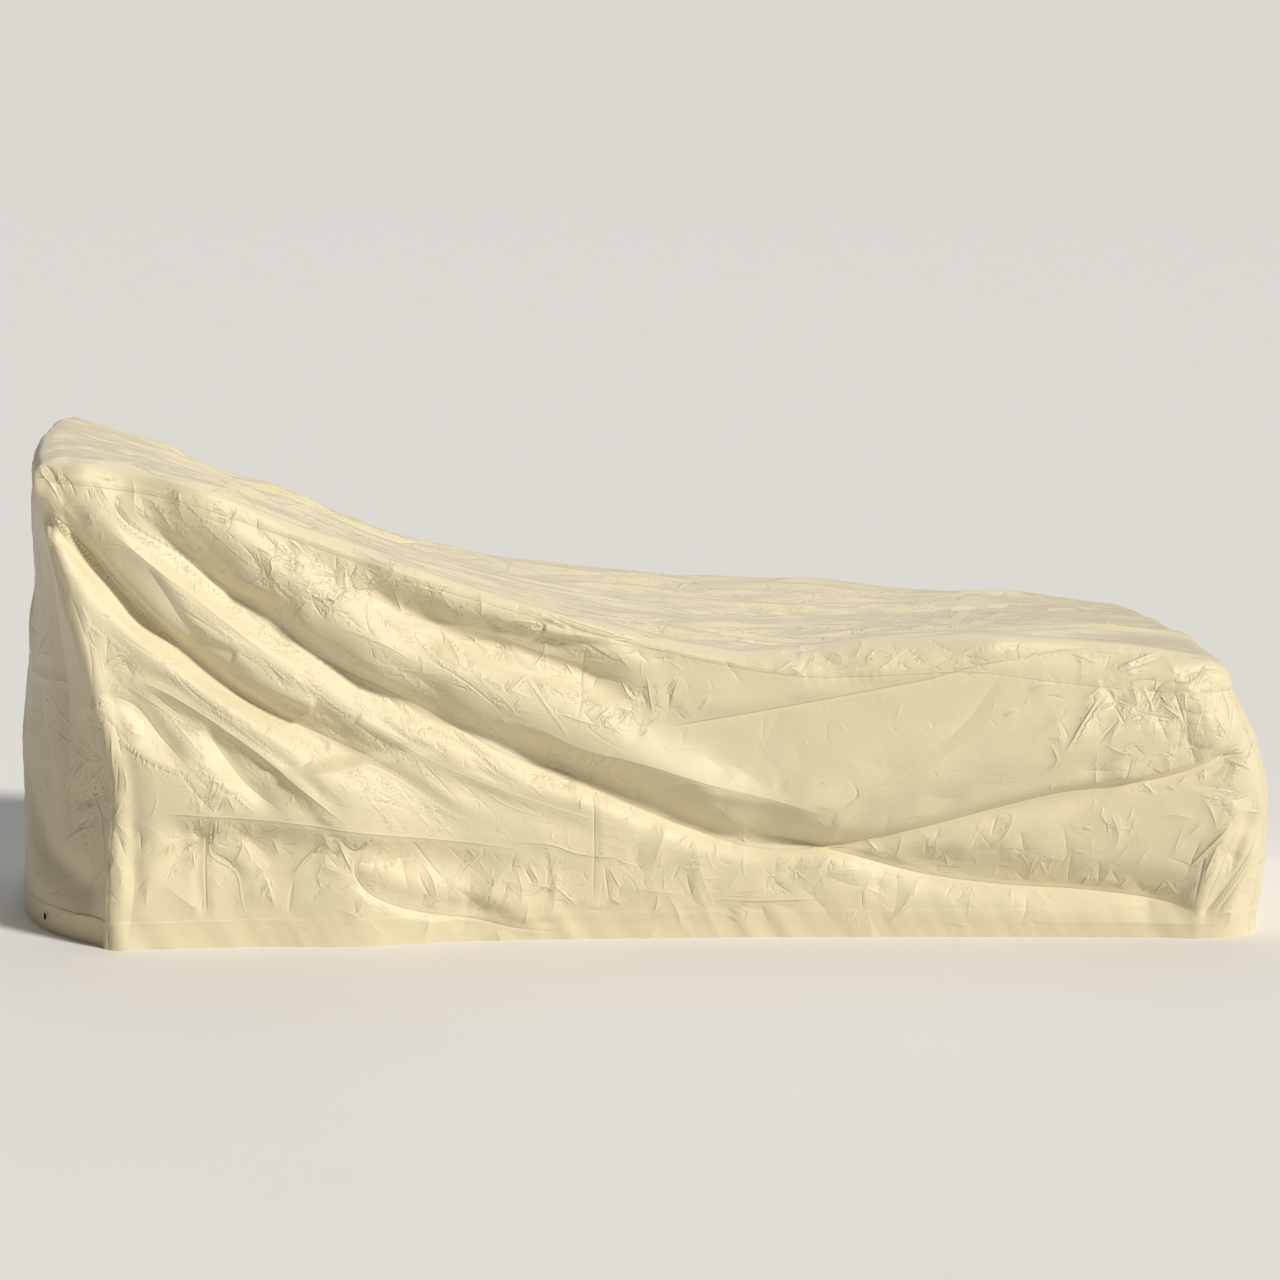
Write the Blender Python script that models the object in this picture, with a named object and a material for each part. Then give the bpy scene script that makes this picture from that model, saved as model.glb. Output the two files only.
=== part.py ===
"""Garden lounge chair cover: a fitted, hollow cover of beige polyester, draped in its folds.

Five cut panels meet at seams: two long sides, a top, a head end and a foot end. The head end
has a hem strip of its own, with one pressed metal eyelet. Metres, +Z up. The head end is at -X,
the foot end at +X, and the near side faces -Y. The hem stands on z = 0.
"""
import math
from collections import namedtuple

import bmesh
import bpy
import numpy as np
from mathutils import Matrix, Vector

# ---------------------------------------------------------------- driving dimensions
CLOTH_THICKNESS = 0.0016
SEAM_GAP = 0.0004            # between the cut edges of two panels
EDGE_INSET = 0.048           # how far in from its edges the top starts to roll over
HEM_HEIGHT = 0.044           # hem strip of the head end

COLUMNS_LONG = 88            # fine cells along a long side
COLUMNS_END = 28             # fine cells across an end
ROWS = 24                    # fine cells from hem to seam
HEM_ROWS = 2                 # fine rows in the height of the hem
PLAIN_STEP = 2               # a panel with fewer folds keeps every second point
CROWD = 0.85                 # how much closer the cells stand at a corner
CROWD_CELLS = 4.0
OUTLINE_STEPS = 16           # short runs that half a corner of an outline is read in
SIDE_STEPS = 64              # and a side between two corners
CLOTH_SHARP_DEGREES = 50     # a bend past this is an edge and not a fold

EYELET_Y = -0.25
EYELET_Z = 0.022
EYELET_FLANGE_RADIUS = 0.0105
EYELET_HOLE_RADIUS = 0.0055
EYELET_BACK_RADIUS = 0.0097
EYELET_METAL = 0.0006
EYELET_LIP_BEND = 0.0012     # how far the barrel's mouth opens as it rolls over
EYELET_CLEARANCE = 0.0004    # from the metal to the cloth
EYELET_SEGMENTS = 24
LIP_ARC_STEPS = 4
CUTTER_LENGTH = 0.016
METAL_SHARP_DEGREES = 40
WELD_DISTANCE = 0.00001

# ---------------------------------------------------------------- finishes
Finish = namedtuple("Finish", "colour roughness metallic sheen")
POLYESTER = Finish((0.78, 0.69, 0.47, 1.0), 0.55, 0.0, 0.2)
HEM_POLYESTER = Finish((0.76, 0.67, 0.45, 1.0), 0.58, 0.0, 0.2)
PLATED_METAL = Finish((0.74, 0.66, 0.48, 1.0), 0.30, 1.0, 0.0)

# ---------------------------------------------------------------- sections along the length
# Height of the top along its near edge, its middle line and its far edge, and how far it rolls
# down over either edge before it meets the side.
Section = namedtuple("Section", "x near middle far near_roll far_roll")
SECTIONS = (
    Section(-0.965, 0.768, 0.780, 0.784, 0.036, 0.034),
    Section(-0.860, 0.757, 0.756, 0.748, 0.036, 0.034),
    Section(-0.710, 0.727, 0.704, 0.692, 0.036, 0.036),
    Section(-0.560, 0.672, 0.646, 0.637, 0.034, 0.036),
    Section(-0.400, 0.611, 0.582, 0.578, 0.030, 0.038),
    Section(-0.250, 0.562, 0.534, 0.543, 0.026, 0.040),
    Section(-0.090, 0.514, 0.492, 0.527, 0.022, 0.040),
    Section(0.070, 0.474, 0.466, 0.510, 0.024, 0.040),
    Section(0.230, 0.462, 0.455, 0.503, 0.038, 0.042),
    Section(0.390, 0.482, 0.455, 0.496, 0.056, 0.044),
    Section(0.510, 0.498, 0.456, 0.488, 0.068, 0.044),
    Section(0.640, 0.488, 0.458, 0.479, 0.074, 0.044),
    Section(0.790, 0.470, 0.458, 0.463, 0.070, 0.042),
    Section(0.910, 0.448, 0.450, 0.447, 0.050, 0.040),
)

# ---------------------------------------------------------------- corners, hem to seam
# level runs from 0 at the hem to 1 at the seam. bow is how far the end swells at its middle, and
# fullness how squarely: 2 is an even curve, and more keeps the swell nearer to the corners.
Corner = namedtuple("Corner", "level near_x near_y far_x far_y bow fullness")
HEAD_CORNERS = (
    Corner(0.00, -0.865, -0.398, -0.900, 0.386, 0.134, 3.0),
    Corner(0.06, -0.865, -0.398, -0.900, 0.386, 0.134, 3.0),
    Corner(0.22, -0.859, -0.392, -0.902, 0.382, 0.136, 2.2),
    Corner(0.38, -0.857, -0.386, -0.905, 0.378, 0.136, 2.0),
    Corner(0.52, -0.884, -0.376, -0.920, 0.371, 0.105, 2.0),
    Corner(0.61, -0.901, -0.370, -0.930, 0.366, 0.086, 2.0),
    Corner(0.72, -0.925, -0.363, -0.944, 0.360, 0.058, 2.0),
    Corner(0.85, -0.948, -0.356, -0.962, 0.354, 0.040, 2.0),
    Corner(1.00, -0.964, -0.350, -0.980, 0.349, 0.018, 2.0),
)
FOOT_CORNERS = (
    Corner(0.00, 0.998, -0.388, 0.994, 0.380, 0.012, 2.0),
    Corner(0.06, 1.003, -0.388, 0.998, 0.380, 0.012, 2.0),
    Corner(0.40, 1.014, -0.382, 1.010, 0.376, 0.014, 2.0),
    Corner(0.65, 1.006, -0.372, 1.002, 0.368, 0.012, 2.0),
    Corner(0.88, 0.972, -0.359, 0.968, 0.356, 0.010, 2.0),
    Corner(1.00, 0.946, -0.350, 0.942, 0.349, 0.008, 2.0),
)
HEAD_CORNER_ROUND = (0.030, 0.036)      # straight run a corner takes up, at the hem and the seam
FOOT_CORNER_ROUND = (0.130, 0.065)
SIDE_WAIST = (-0.050, 0.0)              # how far a long side draws in at its middle
WAIST_FULLNESS = 2.0

# ---------------------------------------------------------------- folds
# A fold follows a route over one face: (x, z) on a side, (x, y) on the top, (y, z) on an end.
# trough is its depth, crest the height of the roll on the left of the route, reach the distance
# from trough to crest, width the half width of the trough, and start and end how long the fold
# takes to grow and to run out.
Fold = namedtuple("Fold", "face name trough crest reach width start end route")
FOLDS = (
    Fold("near", "head drape, lower", 0.030, 0.014, 0.058, 0.026, 0.05, 0.16,
         ((-0.972, 0.740), (-0.912, 0.662), (-0.775, 0.505), (-0.640, 0.392), (-0.500, 0.318),
          (-0.370, 0.250), (-0.230, 0.190))),
    Fold("near", "head drape, long", 0.020, 0.024, 0.068, 0.024, 0.16, 0.12,
         ((-0.870, 0.725), (-0.735, 0.622), (-0.610, 0.520), (-0.455, 0.412), (-0.260, 0.327),
          (-0.110, 0.272), (0.000, 0.222), (0.140, 0.176), (0.350, 0.168))),
    Fold("near", "seat drape", 0.011, 0.010, 0.046, 0.024, 0.10, 0.12,
         ((-0.500, 0.575), (-0.330, 0.502), (-0.135, 0.440), (0.000, 0.380))),
    Fold("near", "roll under the head drape", -0.014, 0.0, 0.040, 0.030, 0.12, 0.12,
         ((-0.850, 0.510), (-0.720, 0.412), (-0.610, 0.325), (-0.500, 0.230))),
    Fold("near", "low head fold", 0.012, 0.0, 0.040, 0.020, 0.05, 0.06,
         ((-0.862, 0.405), (-0.814, 0.378), (-0.727, 0.285))),
    Fold("near", "low middle fold", 0.013, 0.0, 0.040, 0.022, 0.07, 0.07,
         ((-0.712, 0.352), (-0.645, 0.270), (-0.575, 0.205))),
    Fold("near", "hem hollow", 0.008, 0.0, 0.040, 0.018, 0.08, 0.08,
         ((-0.480, 0.110), (-0.380, 0.072), (-0.215, 0.045))),
    Fold("near", "belly line", 0.012, 0.026, 0.088, 0.024, 0.10, 0.10,
         ((0.160, 0.178), (0.340, 0.170), (0.550, 0.208), (0.770, 0.246), (0.915, 0.292),
          (0.985, 0.350))),
    Fold("near", "hollow under the belly", 0.030, 0.0, 0.040, 0.036, 0.14, 0.12,
         ((0.130, 0.170), (0.290, 0.144), (0.400, 0.114), (0.550, 0.094), (0.790, 0.070),
          (0.920, 0.045))),
    Fold("near", "foot corner fold", 0.010, 0.006, 0.032, 0.016, 0.06, 0.07,
         ((0.888, 0.010), (0.914, 0.079), (0.947, 0.149), (0.980, 0.250))),
    Fold("near", "head corner tuck", 0.010, 0.0, 0.030, 0.015, 0.10, 0.06,
         ((-0.915, 0.580), (-0.862, 0.420), (-0.826, 0.260), (-0.818, 0.060))),
    Fold("top", "seat valley", 0.010, 0.0, 0.040, 0.036, 0.20, 0.20,
         ((-0.250, -0.230), (0.050, -0.250), (0.330, -0.180), (0.620, -0.130))),
    Fold("top", "foot hollow", 0.012, 0.0, 0.040, 0.050, 0.20, 0.20,
         ((0.360, -0.140), (0.600, -0.190), (0.860, -0.150))),
    Fold("top", "long far ripple", 0.007, 0.0, 0.040, 0.030, 0.30, 0.30,
         ((-0.900, 0.210), (-0.400, 0.230), (0.100, 0.170))),
    Fold("far", "head drape, lower", 0.026, 0.012, 0.056, 0.030, 0.14, 0.08,
         ((-0.240, 0.205), (-0.420, 0.270), (-0.600, 0.370), (-0.760, 0.500), (-0.930, 0.690))),
    Fold("far", "head drape, long", 0.020, 0.018, 0.066, 0.030, 0.16, 0.14,
         ((0.300, 0.160), (0.080, 0.210), (-0.160, 0.300), (-0.400, 0.400), (-0.640, 0.545),
          (-0.860, 0.715))),
    Fold("far", "belly line", 0.014, 0.020, 0.084, 0.028, 0.12, 0.14,
         ((0.985, 0.340), (0.780, 0.250), (0.520, 0.200), (0.260, 0.180))),
    Fold("far", "hollow under the belly", 0.022, 0.0, 0.040, 0.036, 0.14, 0.16,
         ((0.900, 0.060), (0.600, 0.090), (0.300, 0.130), (0.100, 0.150))),
    Fold("head", "flare of the hem", 0.014, 0.0, 0.040, 0.030, 0.06, 0.10,
         ((-0.385, 0.075), (-0.290, 0.100), (-0.150, 0.150), (0.010, 0.230))),
    Fold("head", "near hang", 0.012, 0.0, 0.040, 0.034, 0.14, 0.14,
         ((-0.300, 0.690), (-0.250, 0.480), (-0.270, 0.250))),
    Fold("head", "far hang", 0.011, 0.0, 0.040, 0.038, 0.14, 0.14,
         ((0.200, 0.660), (0.170, 0.420), (0.200, 0.160))),
    Fold("foot", "near hang", 0.010, 0.0, 0.040, 0.036, 0.12, 0.12,
         ((-0.170, 0.360), (-0.150, 0.220), (-0.180, 0.060))),
    Fold("foot", "far hang", 0.010, 0.0, 0.040, 0.036, 0.12, 0.12,
         ((0.180, 0.380), (0.130, 0.240), (0.150, 0.060))),
)
ROUTE_STEPS = 8              # short runs that each stretch of a route is read in
CREST_SPREAD = 0.6           # half width of a crest, as a share of the fold's reach
# The two axes a face is measured along, and the direction it looks.
FACES = {
    "near": ((0, 2), (0.0, -1.0, 0.0)),
    "far": ((0, 2), (0.0, 1.0, 0.0)),
    "top": ((0, 1), (0.0, 0.0, 1.0)),
    "head": ((1, 2), (-1.0, 0.0, 0.0)),
    "foot": ((1, 2), (1.0, 0.0, 0.0)),
}
FACING_LOW = 0.25            # a fold dies out where the cloth turns away from its face
FACING_HIGH = 0.75
SEAM_HOLD = 0.07             # from a head corner's stiff seam to where the folds are free


# ---------------------------------------------------------------- curves and tables
def hermite(x, knots, values):
    """Smooth curve through a table's points, level beyond its ends."""
    knots = np.asarray(knots, float)
    values = np.asarray(values, float)
    slopes = np.gradient(values, knots)
    x = np.clip(x, knots[0], knots[-1])
    cell = np.clip(np.searchsorted(knots, x, side="right") - 1, 0, len(knots) - 2)
    run = knots[cell + 1] - knots[cell]
    s = (x - knots[cell]) / run
    low = values[cell] * (1 + 2 * s) * (1 - s) ** 2 + slopes[cell] * run * s * (1 - s) ** 2
    high = values[cell + 1] * s * s * (3 - 2 * s) - slopes[cell + 1] * run * s * s * (1 - s)
    return low + high


def smoothstep(low, high, value):
    s = np.clip((value - low) / (high - low), 0.0, 1.0)
    return s * s * (3 - 2 * s)


def corner_at(table, level):
    """One row of a corner table, read at any level."""
    levels = [row.level for row in table]
    return Corner(level, *(float(hermite(level, levels, [getattr(row, name) for row in table]))
                           for name in Corner._fields[1:]))


def section_at(name, x):
    return hermite(x, [row.x for row in SECTIONS], [getattr(row, name) for row in SECTIONS])


def top_height(x, y):
    """Height of the top before it rolls over its edges."""
    v = np.clip(y / -HEAD_CORNERS[-1].near_y, -1.0, 1.0)
    return (section_at("near", x) * v * (v - 1) / 2 + section_at("middle", x) * (1 - v * v)
            + section_at("far", x) * v * (v + 1) / 2)


def top_roll(x, y):
    """How far the top rolls down over its edge."""
    v = np.clip(y / -HEAD_CORNERS[-1].near_y, -1.0, 1.0)
    return section_at("near_roll", x) * (1 - v) / 2 + section_at("far_roll", x) * (1 + v) / 2


def route_points(route):
    """Points along a smooth route through the given ones."""
    knots = np.arange(len(route), dtype=float)
    steps = np.linspace(0, len(route) - 1, ROUTE_STEPS * (len(route) - 1) + 1)
    return np.stack([hermite(steps, knots, [point[axis] for point in route]) for axis in (0, 1)],
                    axis=1)


def route_distance(points, route):
    """Signed distance of each point from a route, positive on its left, and how far along
    the route it lies from either end."""
    line = route_points(route)
    starts, runs = line[:-1], np.diff(line, axis=0)
    lengths = np.linalg.norm(runs, axis=1)
    along = np.einsum("psk,sk->ps", points[:, None] - starts, runs) / lengths ** 2
    clipped = np.clip(along, 0.0, 1.0)
    away = points[:, None] - (starts + clipped[..., None] * runs)
    distance = np.linalg.norm(away, axis=2)
    nearest = np.argmin(distance, axis=1)
    pick = np.arange(len(points)), nearest
    left = runs[nearest, 0] * away[pick][:, 1] - runs[nearest, 1] * away[pick][:, 0]
    travelled = np.concatenate([[0.0], np.cumsum(lengths)])
    place = travelled[nearest] + clipped[pick] * lengths[nearest]
    return np.sign(left) * distance[pick], place, travelled[-1] - place


def fold_height(fold, points):
    """How far one fold moves the cloth outwards at each point of its face."""
    distance, begun, left_over = route_distance(points, fold.route)
    profile = -fold.trough * np.exp(-(distance / fold.width) ** 2)
    profile += fold.crest * np.exp(-((distance - fold.reach) / (CREST_SPREAD * fold.reach)) ** 2)
    return profile * smoothstep(0, fold.start, begun) * smoothstep(0, fold.end, left_over)


# ---------------------------------------------------------------- the draped surface
def soft_corner(before, corner, after, tangent):
    """Points of a rounded corner, whose middle one is the seam between two walls."""
    entry = corner + tangent * (before - corner) / np.linalg.norm(before - corner)
    leave = corner + tangent * (after - corner) / np.linalg.norm(after - corner)
    s = np.linspace(0, 1, 2 * OUTLINE_STEPS + 1)[:, None]
    return entry * (1 - s) ** 2 + corner * 2 * s * (1 - s) + leave * s ** 2


def bowed_run(start, end, outward, bow, fullness):
    """Points of a side between two corners, bowed outwards."""
    s = np.linspace(0, 1, SIDE_STEPS + 1)[1:-1, None]
    swell = bow * (1 - np.abs(2 * s - 1) ** fullness)
    return start + (end - start) * s + np.asarray(outward) * swell


def crowded(cells):
    """Fractions of a side where its cells end, closer together at its corners."""
    place = np.arange(cells) + 0.5
    close = np.exp(-(place / CROWD_CELLS) ** 2) + np.exp(-((cells - place) / CROWD_CELLS) ** 2)
    return np.concatenate([[0.0], np.cumsum(1 - CROWD * close)]) / (1 - CROWD * close).sum()


def arc_fraction(curve):
    steps = np.linalg.norm(np.diff(curve, axis=0), axis=1)
    return np.concatenate([[0.0], np.cumsum(steps)]) / steps.sum()


def ring(level):
    """Plan outline at one level, from the near head corner round by the foot."""
    head = corner_at(HEAD_CORNERS, level)
    foot = corner_at(FOOT_CORNERS, level)
    head_round = HEAD_CORNER_ROUND[0] * (1 - level) + HEAD_CORNER_ROUND[1] * level
    foot_round = FOOT_CORNER_ROUND[0] * (1 - level) + FOOT_CORNER_ROUND[1] * level
    waist = SIDE_WAIST[0] * (1 - level) + SIDE_WAIST[1] * level
    points = [np.array(p) for p in ((head.near_x, head.near_y), (foot.near_x, foot.near_y),
                                    (foot.far_x, foot.far_y), (head.far_x, head.far_y))]
    rounds = (head_round, foot_round, foot_round, head_round)
    sides = (((0, -1), waist, WAIST_FULLNESS, COLUMNS_LONG),
             ((1, 0), foot.bow, foot.fullness, COLUMNS_END),
             ((0, 1), waist, WAIST_FULLNESS, COLUMNS_LONG),
             ((-1, 0), head.bow, head.fullness, COLUMNS_END))
    corners = [soft_corner(points[i - 1], points[i], points[(i + 1) % 4], rounds[i])
               for i in range(4)]
    outline = []
    for i, (outward, bow, fullness, cells) in enumerate(sides):
        here = corners[i][OUTLINE_STEPS:]
        there = corners[(i + 1) % 4][:OUTLINE_STEPS + 1]
        middle = bowed_run(here[-1], there[0], outward, bow, fullness)
        side = np.concatenate([here, middle, there])
        outline += [np.stack([np.interp(crowded(cells), arc_fraction(side), side[:, axis])
                              for axis in (0, 1)], axis=1)[:-1]]
    return np.concatenate(outline)


def wall_levels():
    """Levels of the rows of cells: the hem's rows, then even rows up to the seam."""
    hem = HEM_HEIGHT / (SECTIONS[0].near - SECTIONS[0].near_roll)
    return np.concatenate([np.linspace(0.0, hem, HEM_ROWS, endpoint=False),
                           np.linspace(hem, 1.0, ROWS - HEM_ROWS + 1)])


def wall_rows():
    """Points of the four walls, a row for each level."""
    levels = wall_levels()
    plans = [ring(level) for level in levels]
    edge_x, edge_y = plans[-1].T
    seam = top_height(edge_x, edge_y) - top_roll(edge_x, edge_y)
    return [np.column_stack([plan, seam * level]) for plan, level in zip(plans, levels)]


def top_inside(outline):
    """Inner points of the top, spread between its four edges and rolled down near them."""
    near = outline[:COLUMNS_LONG + 1]
    foot = outline[COLUMNS_LONG:COLUMNS_LONG + COLUMNS_END + 1]
    far = outline[COLUMNS_LONG + COLUMNS_END:2 * COLUMNS_LONG + COLUMNS_END + 1][::-1]
    head = np.roll(outline, -(2 * COLUMNS_LONG + COLUMNS_END), axis=0)[:COLUMNS_END + 1][::-1]
    u = arc_fraction(near)[1:-1, None, None]
    v = arc_fraction(foot)[None, 1:-1, None]
    plan = (near[1:-1, None] * (1 - v) + far[1:-1, None] * v
            + head[None, 1:-1] * (1 - u) + foot[None, 1:-1] * u
            - near[0] * (1 - u) * (1 - v) - near[-1] * u * (1 - v)
            - far[0] * (1 - u) * v - far[-1] * u * v)
    flat = plan.reshape(-1, 2)
    starts, runs = outline, np.roll(outline, -1, axis=0) - outline
    along = np.einsum("psk,sk->ps", flat[:, None] - starts, runs) / (runs ** 2).sum(axis=1)
    nearest = starts + np.clip(along, 0, 1)[..., None] * runs
    inset = np.linalg.norm(flat[:, None] - nearest, axis=2).min(axis=1)
    short = np.clip(1 - inset / EDGE_INSET, 0, 1)
    x, y = flat.T
    height = top_height(x, y) - top_roll(x, y) * (1 - np.sqrt(1 - short ** 2))
    return np.column_stack([flat, height]).reshape(*plan.shape[:2], 3)


def cloth_grids():
    """All points of the cover and, for each panel, a grid of their numbers."""
    rows = wall_rows()
    around = len(rows[0])
    inside = top_inside(rows[-1][:, :2])
    points = np.concatenate([*rows, inside.reshape(-1, 3)])
    numbers = np.arange(len(rows) * around).reshape(len(rows), around)
    closed = np.column_stack([numbers, numbers[:, 0]])
    turns = np.cumsum([0, COLUMNS_LONG, COLUMNS_END, COLUMNS_LONG, COLUMNS_END])
    near, foot, far, head = (closed[:, a:b + 1] for a, b in zip(turns, turns[1:]))
    top = np.empty((COLUMNS_END + 1, COLUMNS_LONG + 1), int)
    top[1:-1, 1:-1] = (numbers.size + np.arange(inside.shape[0] * inside.shape[1])
                       .reshape(inside.shape[:2])).T
    top[0], top[-1] = near[-1], far[-1][::-1]
    top[:, 0], top[:, -1] = head[-1][::-1], foot[-1]
    return points, {"near": near, "far": far, "top": top, "head": head, "foot": foot}


def panel_grids(grids):
    """The points each panel keeps: all of them on the near side, fewer on the plainer ones."""
    plain = np.s_[::PLAIN_STEP, ::PLAIN_STEP]
    return {"near_side_panel": grids["near"], "far_side_panel": grids["far"][plain],
            "top_panel": grids["top"][plain], "foot_end_panel": grids["foot"][plain],
            "head_end_panel": grids["head"][HEM_ROWS:][plain],
            "head_hem_strip": grids["head"][:HEM_ROWS + 1:HEM_ROWS, ::PLAIN_STEP]}


def point_normals(points, grids):
    """Outward direction at each point, from the cells around it."""
    normals = np.zeros_like(points)
    for grid in grids.values():
        a, b, c, d = grid[:-1, :-1], grid[:-1, 1:], grid[1:, 1:], grid[1:, :-1]
        face = np.cross(points[c] - points[a], points[d] - points[b])
        for corner in (a, b, c, d):
            np.add.at(normals, corner, face)
    return normals / np.linalg.norm(normals, axis=1)[:, None]


def from_head_corner(points, grids):
    """Distance of each wall point from the nearer head corner, negative on the head end."""
    away = np.full(len(points), np.inf)
    for face in ("foot", "near", "far", "head"):
        walls = points[grids[face]]
        steps = np.linalg.norm(np.diff(walls[..., :2], axis=1), axis=2)
        run = np.concatenate([np.zeros((len(walls), 1)), np.cumsum(steps, axis=1)], axis=1)
        back = run[:, -1:] - run
        away[grids[face]] = {"near": run, "far": back, "head": -np.minimum(run, back)}.get(
            face, np.inf)
    return away


def fold_cloth(points, grids):
    """Push the cloth out into its rolls and in along its troughs."""
    normals = point_normals(points, grids)
    away = from_head_corner(points, grids)
    push = np.zeros(len(points))
    for fold in FOLDS:
        axes, outward = FACES[fold.face]
        free = smoothstep(FACING_LOW, FACING_HIGH, normals @ np.array(outward))
        if fold.face in ("near", "far"):
            free *= smoothstep(0.0, SEAM_HOLD, away)
        if fold.face == "head":
            free *= smoothstep(0.0, SEAM_HOLD, np.where(np.isinf(away), away, -away))
        seen = free > 0
        push[seen] += free[seen] * fold_height(fold, points[seen][:, axes])
    folded = points + normals * push[:, None]
    around = 2 * (COLUMNS_LONG + COLUMNS_END)
    rows = folded[:(ROWS + 1) * around].reshape(ROWS + 1, around, 3)
    rows[:HEM_ROWS, :, :2] = rows[HEM_ROWS, :, :2]      # the hem hangs plumb
    rows[0, :, 2] = 0.0
    rows[1:HEM_ROWS, :, 2] = rows[HEM_ROWS, :, 2] / HEM_ROWS
    straighten_seams(folded, grids["near"])
    return folded, push


def straighten_seams(values, near):
    """Bring the near side's finer seams onto the longer cells of the panels they meet."""
    for edge in (near[-1], near[:, 0], near[:, -1]):
        values[edge[1:-1:2]] = (values[edge[:-1:2]] + values[edge[2::2]]) / 2


# ---------------------------------------------------------------- solids
def cut_apart(sheet, has_hem):
    """Draw the seams of a panel in, so that its neighbours have room. A hem stays put."""
    seams = [(np.s_[-1], np.s_[-2]), (np.s_[:, 0], np.s_[:, 1]), (np.s_[:, -1], np.s_[:, -2])]
    if not has_hem:
        seams.append((np.s_[0], np.s_[1]))
    drawn = sheet.copy()
    for edge, inner in seams:
        inward = sheet[inner] - sheet[edge]
        drawn[edge] += inward * (SEAM_GAP / 2 / np.linalg.norm(inward, axis=-1))[..., None]
    return drawn


def cell_triangles(corners, pushed):
    """A cell's two triangles, parted along the diagonal whose ends are pushed most alike."""
    a, b, c, d = corners
    if abs(pushed[0] - pushed[2]) < abs(pushed[1] - pushed[3]):
        return (a, b, c), (a, c, d)
    return (a, b, d), (b, c, d)


def panel(name, sheet, normals, push, material, root):
    """One cut panel: its outer face, its inner face and a rim round the edge."""
    centre = sheet.reshape(-1, 3).mean(axis=0)
    on_floor = sheet[..., 2] == 0.0
    inward = np.where(on_floor[..., None], normals * (1, 1, 0), normals)
    outer = cut_apart(sheet, on_floor.any()) - centre
    inner = outer - CLOTH_THICKNESS * inward
    bm = bmesh.new()
    front, back = [[[bm.verts.new(point) for point in line] for line in layer]
                   for layer in (outer, inner)]
    rows, columns = sheet.shape[0] - 1, sheet.shape[1] - 1
    for i in range(rows):
        for j in range(columns):
            cell = ((i, j), (i, j + 1), (i + 1, j + 1), (i + 1, j))
            for triangle in cell_triangles(cell, [push[place] for place in cell]):
                bm.faces.new([front[k][l] for k, l in triangle])
                bm.faces.new([back[k][l] for k, l in reversed(triangle)])
    rim = ([(0, j) for j in range(columns)] + [(i, columns) for i in range(rows)]
           + [(rows, j) for j in range(columns, 0, -1)] + [(i, 0) for i in range(rows, 0, -1)])
    for (i, j), (k, l) in zip(rim, rim[1:] + rim[:1]):
        bm.faces.new((front[k][l], front[i][j], back[i][j], back[k][l]))
    mesh = bpy.data.meshes.new(name)
    bm.to_mesh(mesh)
    bm.free()
    mesh.shade_smooth()
    mesh.set_sharp_from_angle(angle=math.radians(CLOTH_SHARP_DEGREES))
    return add_object(name, mesh, material, root, Matrix.Translation(centre))


def add_object(name, mesh, material, root, place):
    thing = bpy.data.objects.new(name, mesh)
    thing.data.materials.append(material)
    thing.matrix_world = place
    thing.parent = root
    bpy.context.scene.collection.objects.link(thing)
    return thing


def eyelet_place(strip):
    """The eyelet's seat on the hem strip: its centre on the cloth, turned to face outwards."""
    middle = (strip[0] + strip[1]) / 2
    order = np.argsort(middle[:, 1])
    x = float(np.interp(EYELET_Y, middle[order, 1], middle[order, 0]))
    cell = int(np.searchsorted(middle[order, 1], EYELET_Y)) - 1
    run = middle[order[cell + 1]] - middle[order[cell]]
    outward = Vector((-run[1], run[0], 0.0)).normalized()
    side = Vector((0, 0, 1)).cross(outward)
    turn = Matrix((side, outward.cross(side), outward)).transposed()
    return Matrix.Translation((x, EYELET_Y, EYELET_Z)) @ turn.to_4x4()


def eyelet_hole_cutter(place, radius):
    """Plug that clears the hole for the eyelet's barrel, kept as a hidden guide."""
    mesh = bpy.data.meshes.new("eyelet_hole_cutter")
    bm = bmesh.new()
    bmesh.ops.create_cone(bm, cap_ends=True, segments=EYELET_SEGMENTS, radius1=radius,
                          radius2=radius, depth=CUTTER_LENGTH)
    bm.to_mesh(mesh)
    bm.free()
    cutter = bpy.data.objects.new("eyelet_hole_cutter", mesh)
    cutter.matrix_world = place
    cutter.hide_render = True
    cutter.display_type = "WIRE"
    bpy.context.scene.collection.objects.link(cutter)
    return cutter


def eyelet_profile():
    """Section of the pressed ring as (radius, height): flange, barrel and rolled back."""
    front = EYELET_CLEARANCE
    back = -CLOTH_THICKNESS - EYELET_CLEARANCE
    barrel = EYELET_HOLE_RADIUS + EYELET_METAL
    bend = EYELET_LIP_BEND
    points = [(EYELET_FLANGE_RADIUS, front), (EYELET_FLANGE_RADIUS, front + EYELET_METAL)]
    for step in range(LIP_ARC_STEPS + 1):
        angle = math.pi / 2 * step / LIP_ARC_STEPS
        points.append((EYELET_HOLE_RADIUS + bend * (1 - math.sin(angle)),
                       front + EYELET_METAL - bend * (1 - math.cos(angle))))
    for step in range(LIP_ARC_STEPS + 1):
        angle = math.pi / 2 * step / LIP_ARC_STEPS
        points.append((EYELET_HOLE_RADIUS + bend * (1 - math.cos(angle)),
                       back - EYELET_METAL + bend * (1 - math.sin(angle))))
    return points + [(EYELET_BACK_RADIUS, back - EYELET_METAL), (EYELET_BACK_RADIUS, back),
                     (barrel, back), (barrel, front)]


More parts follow.
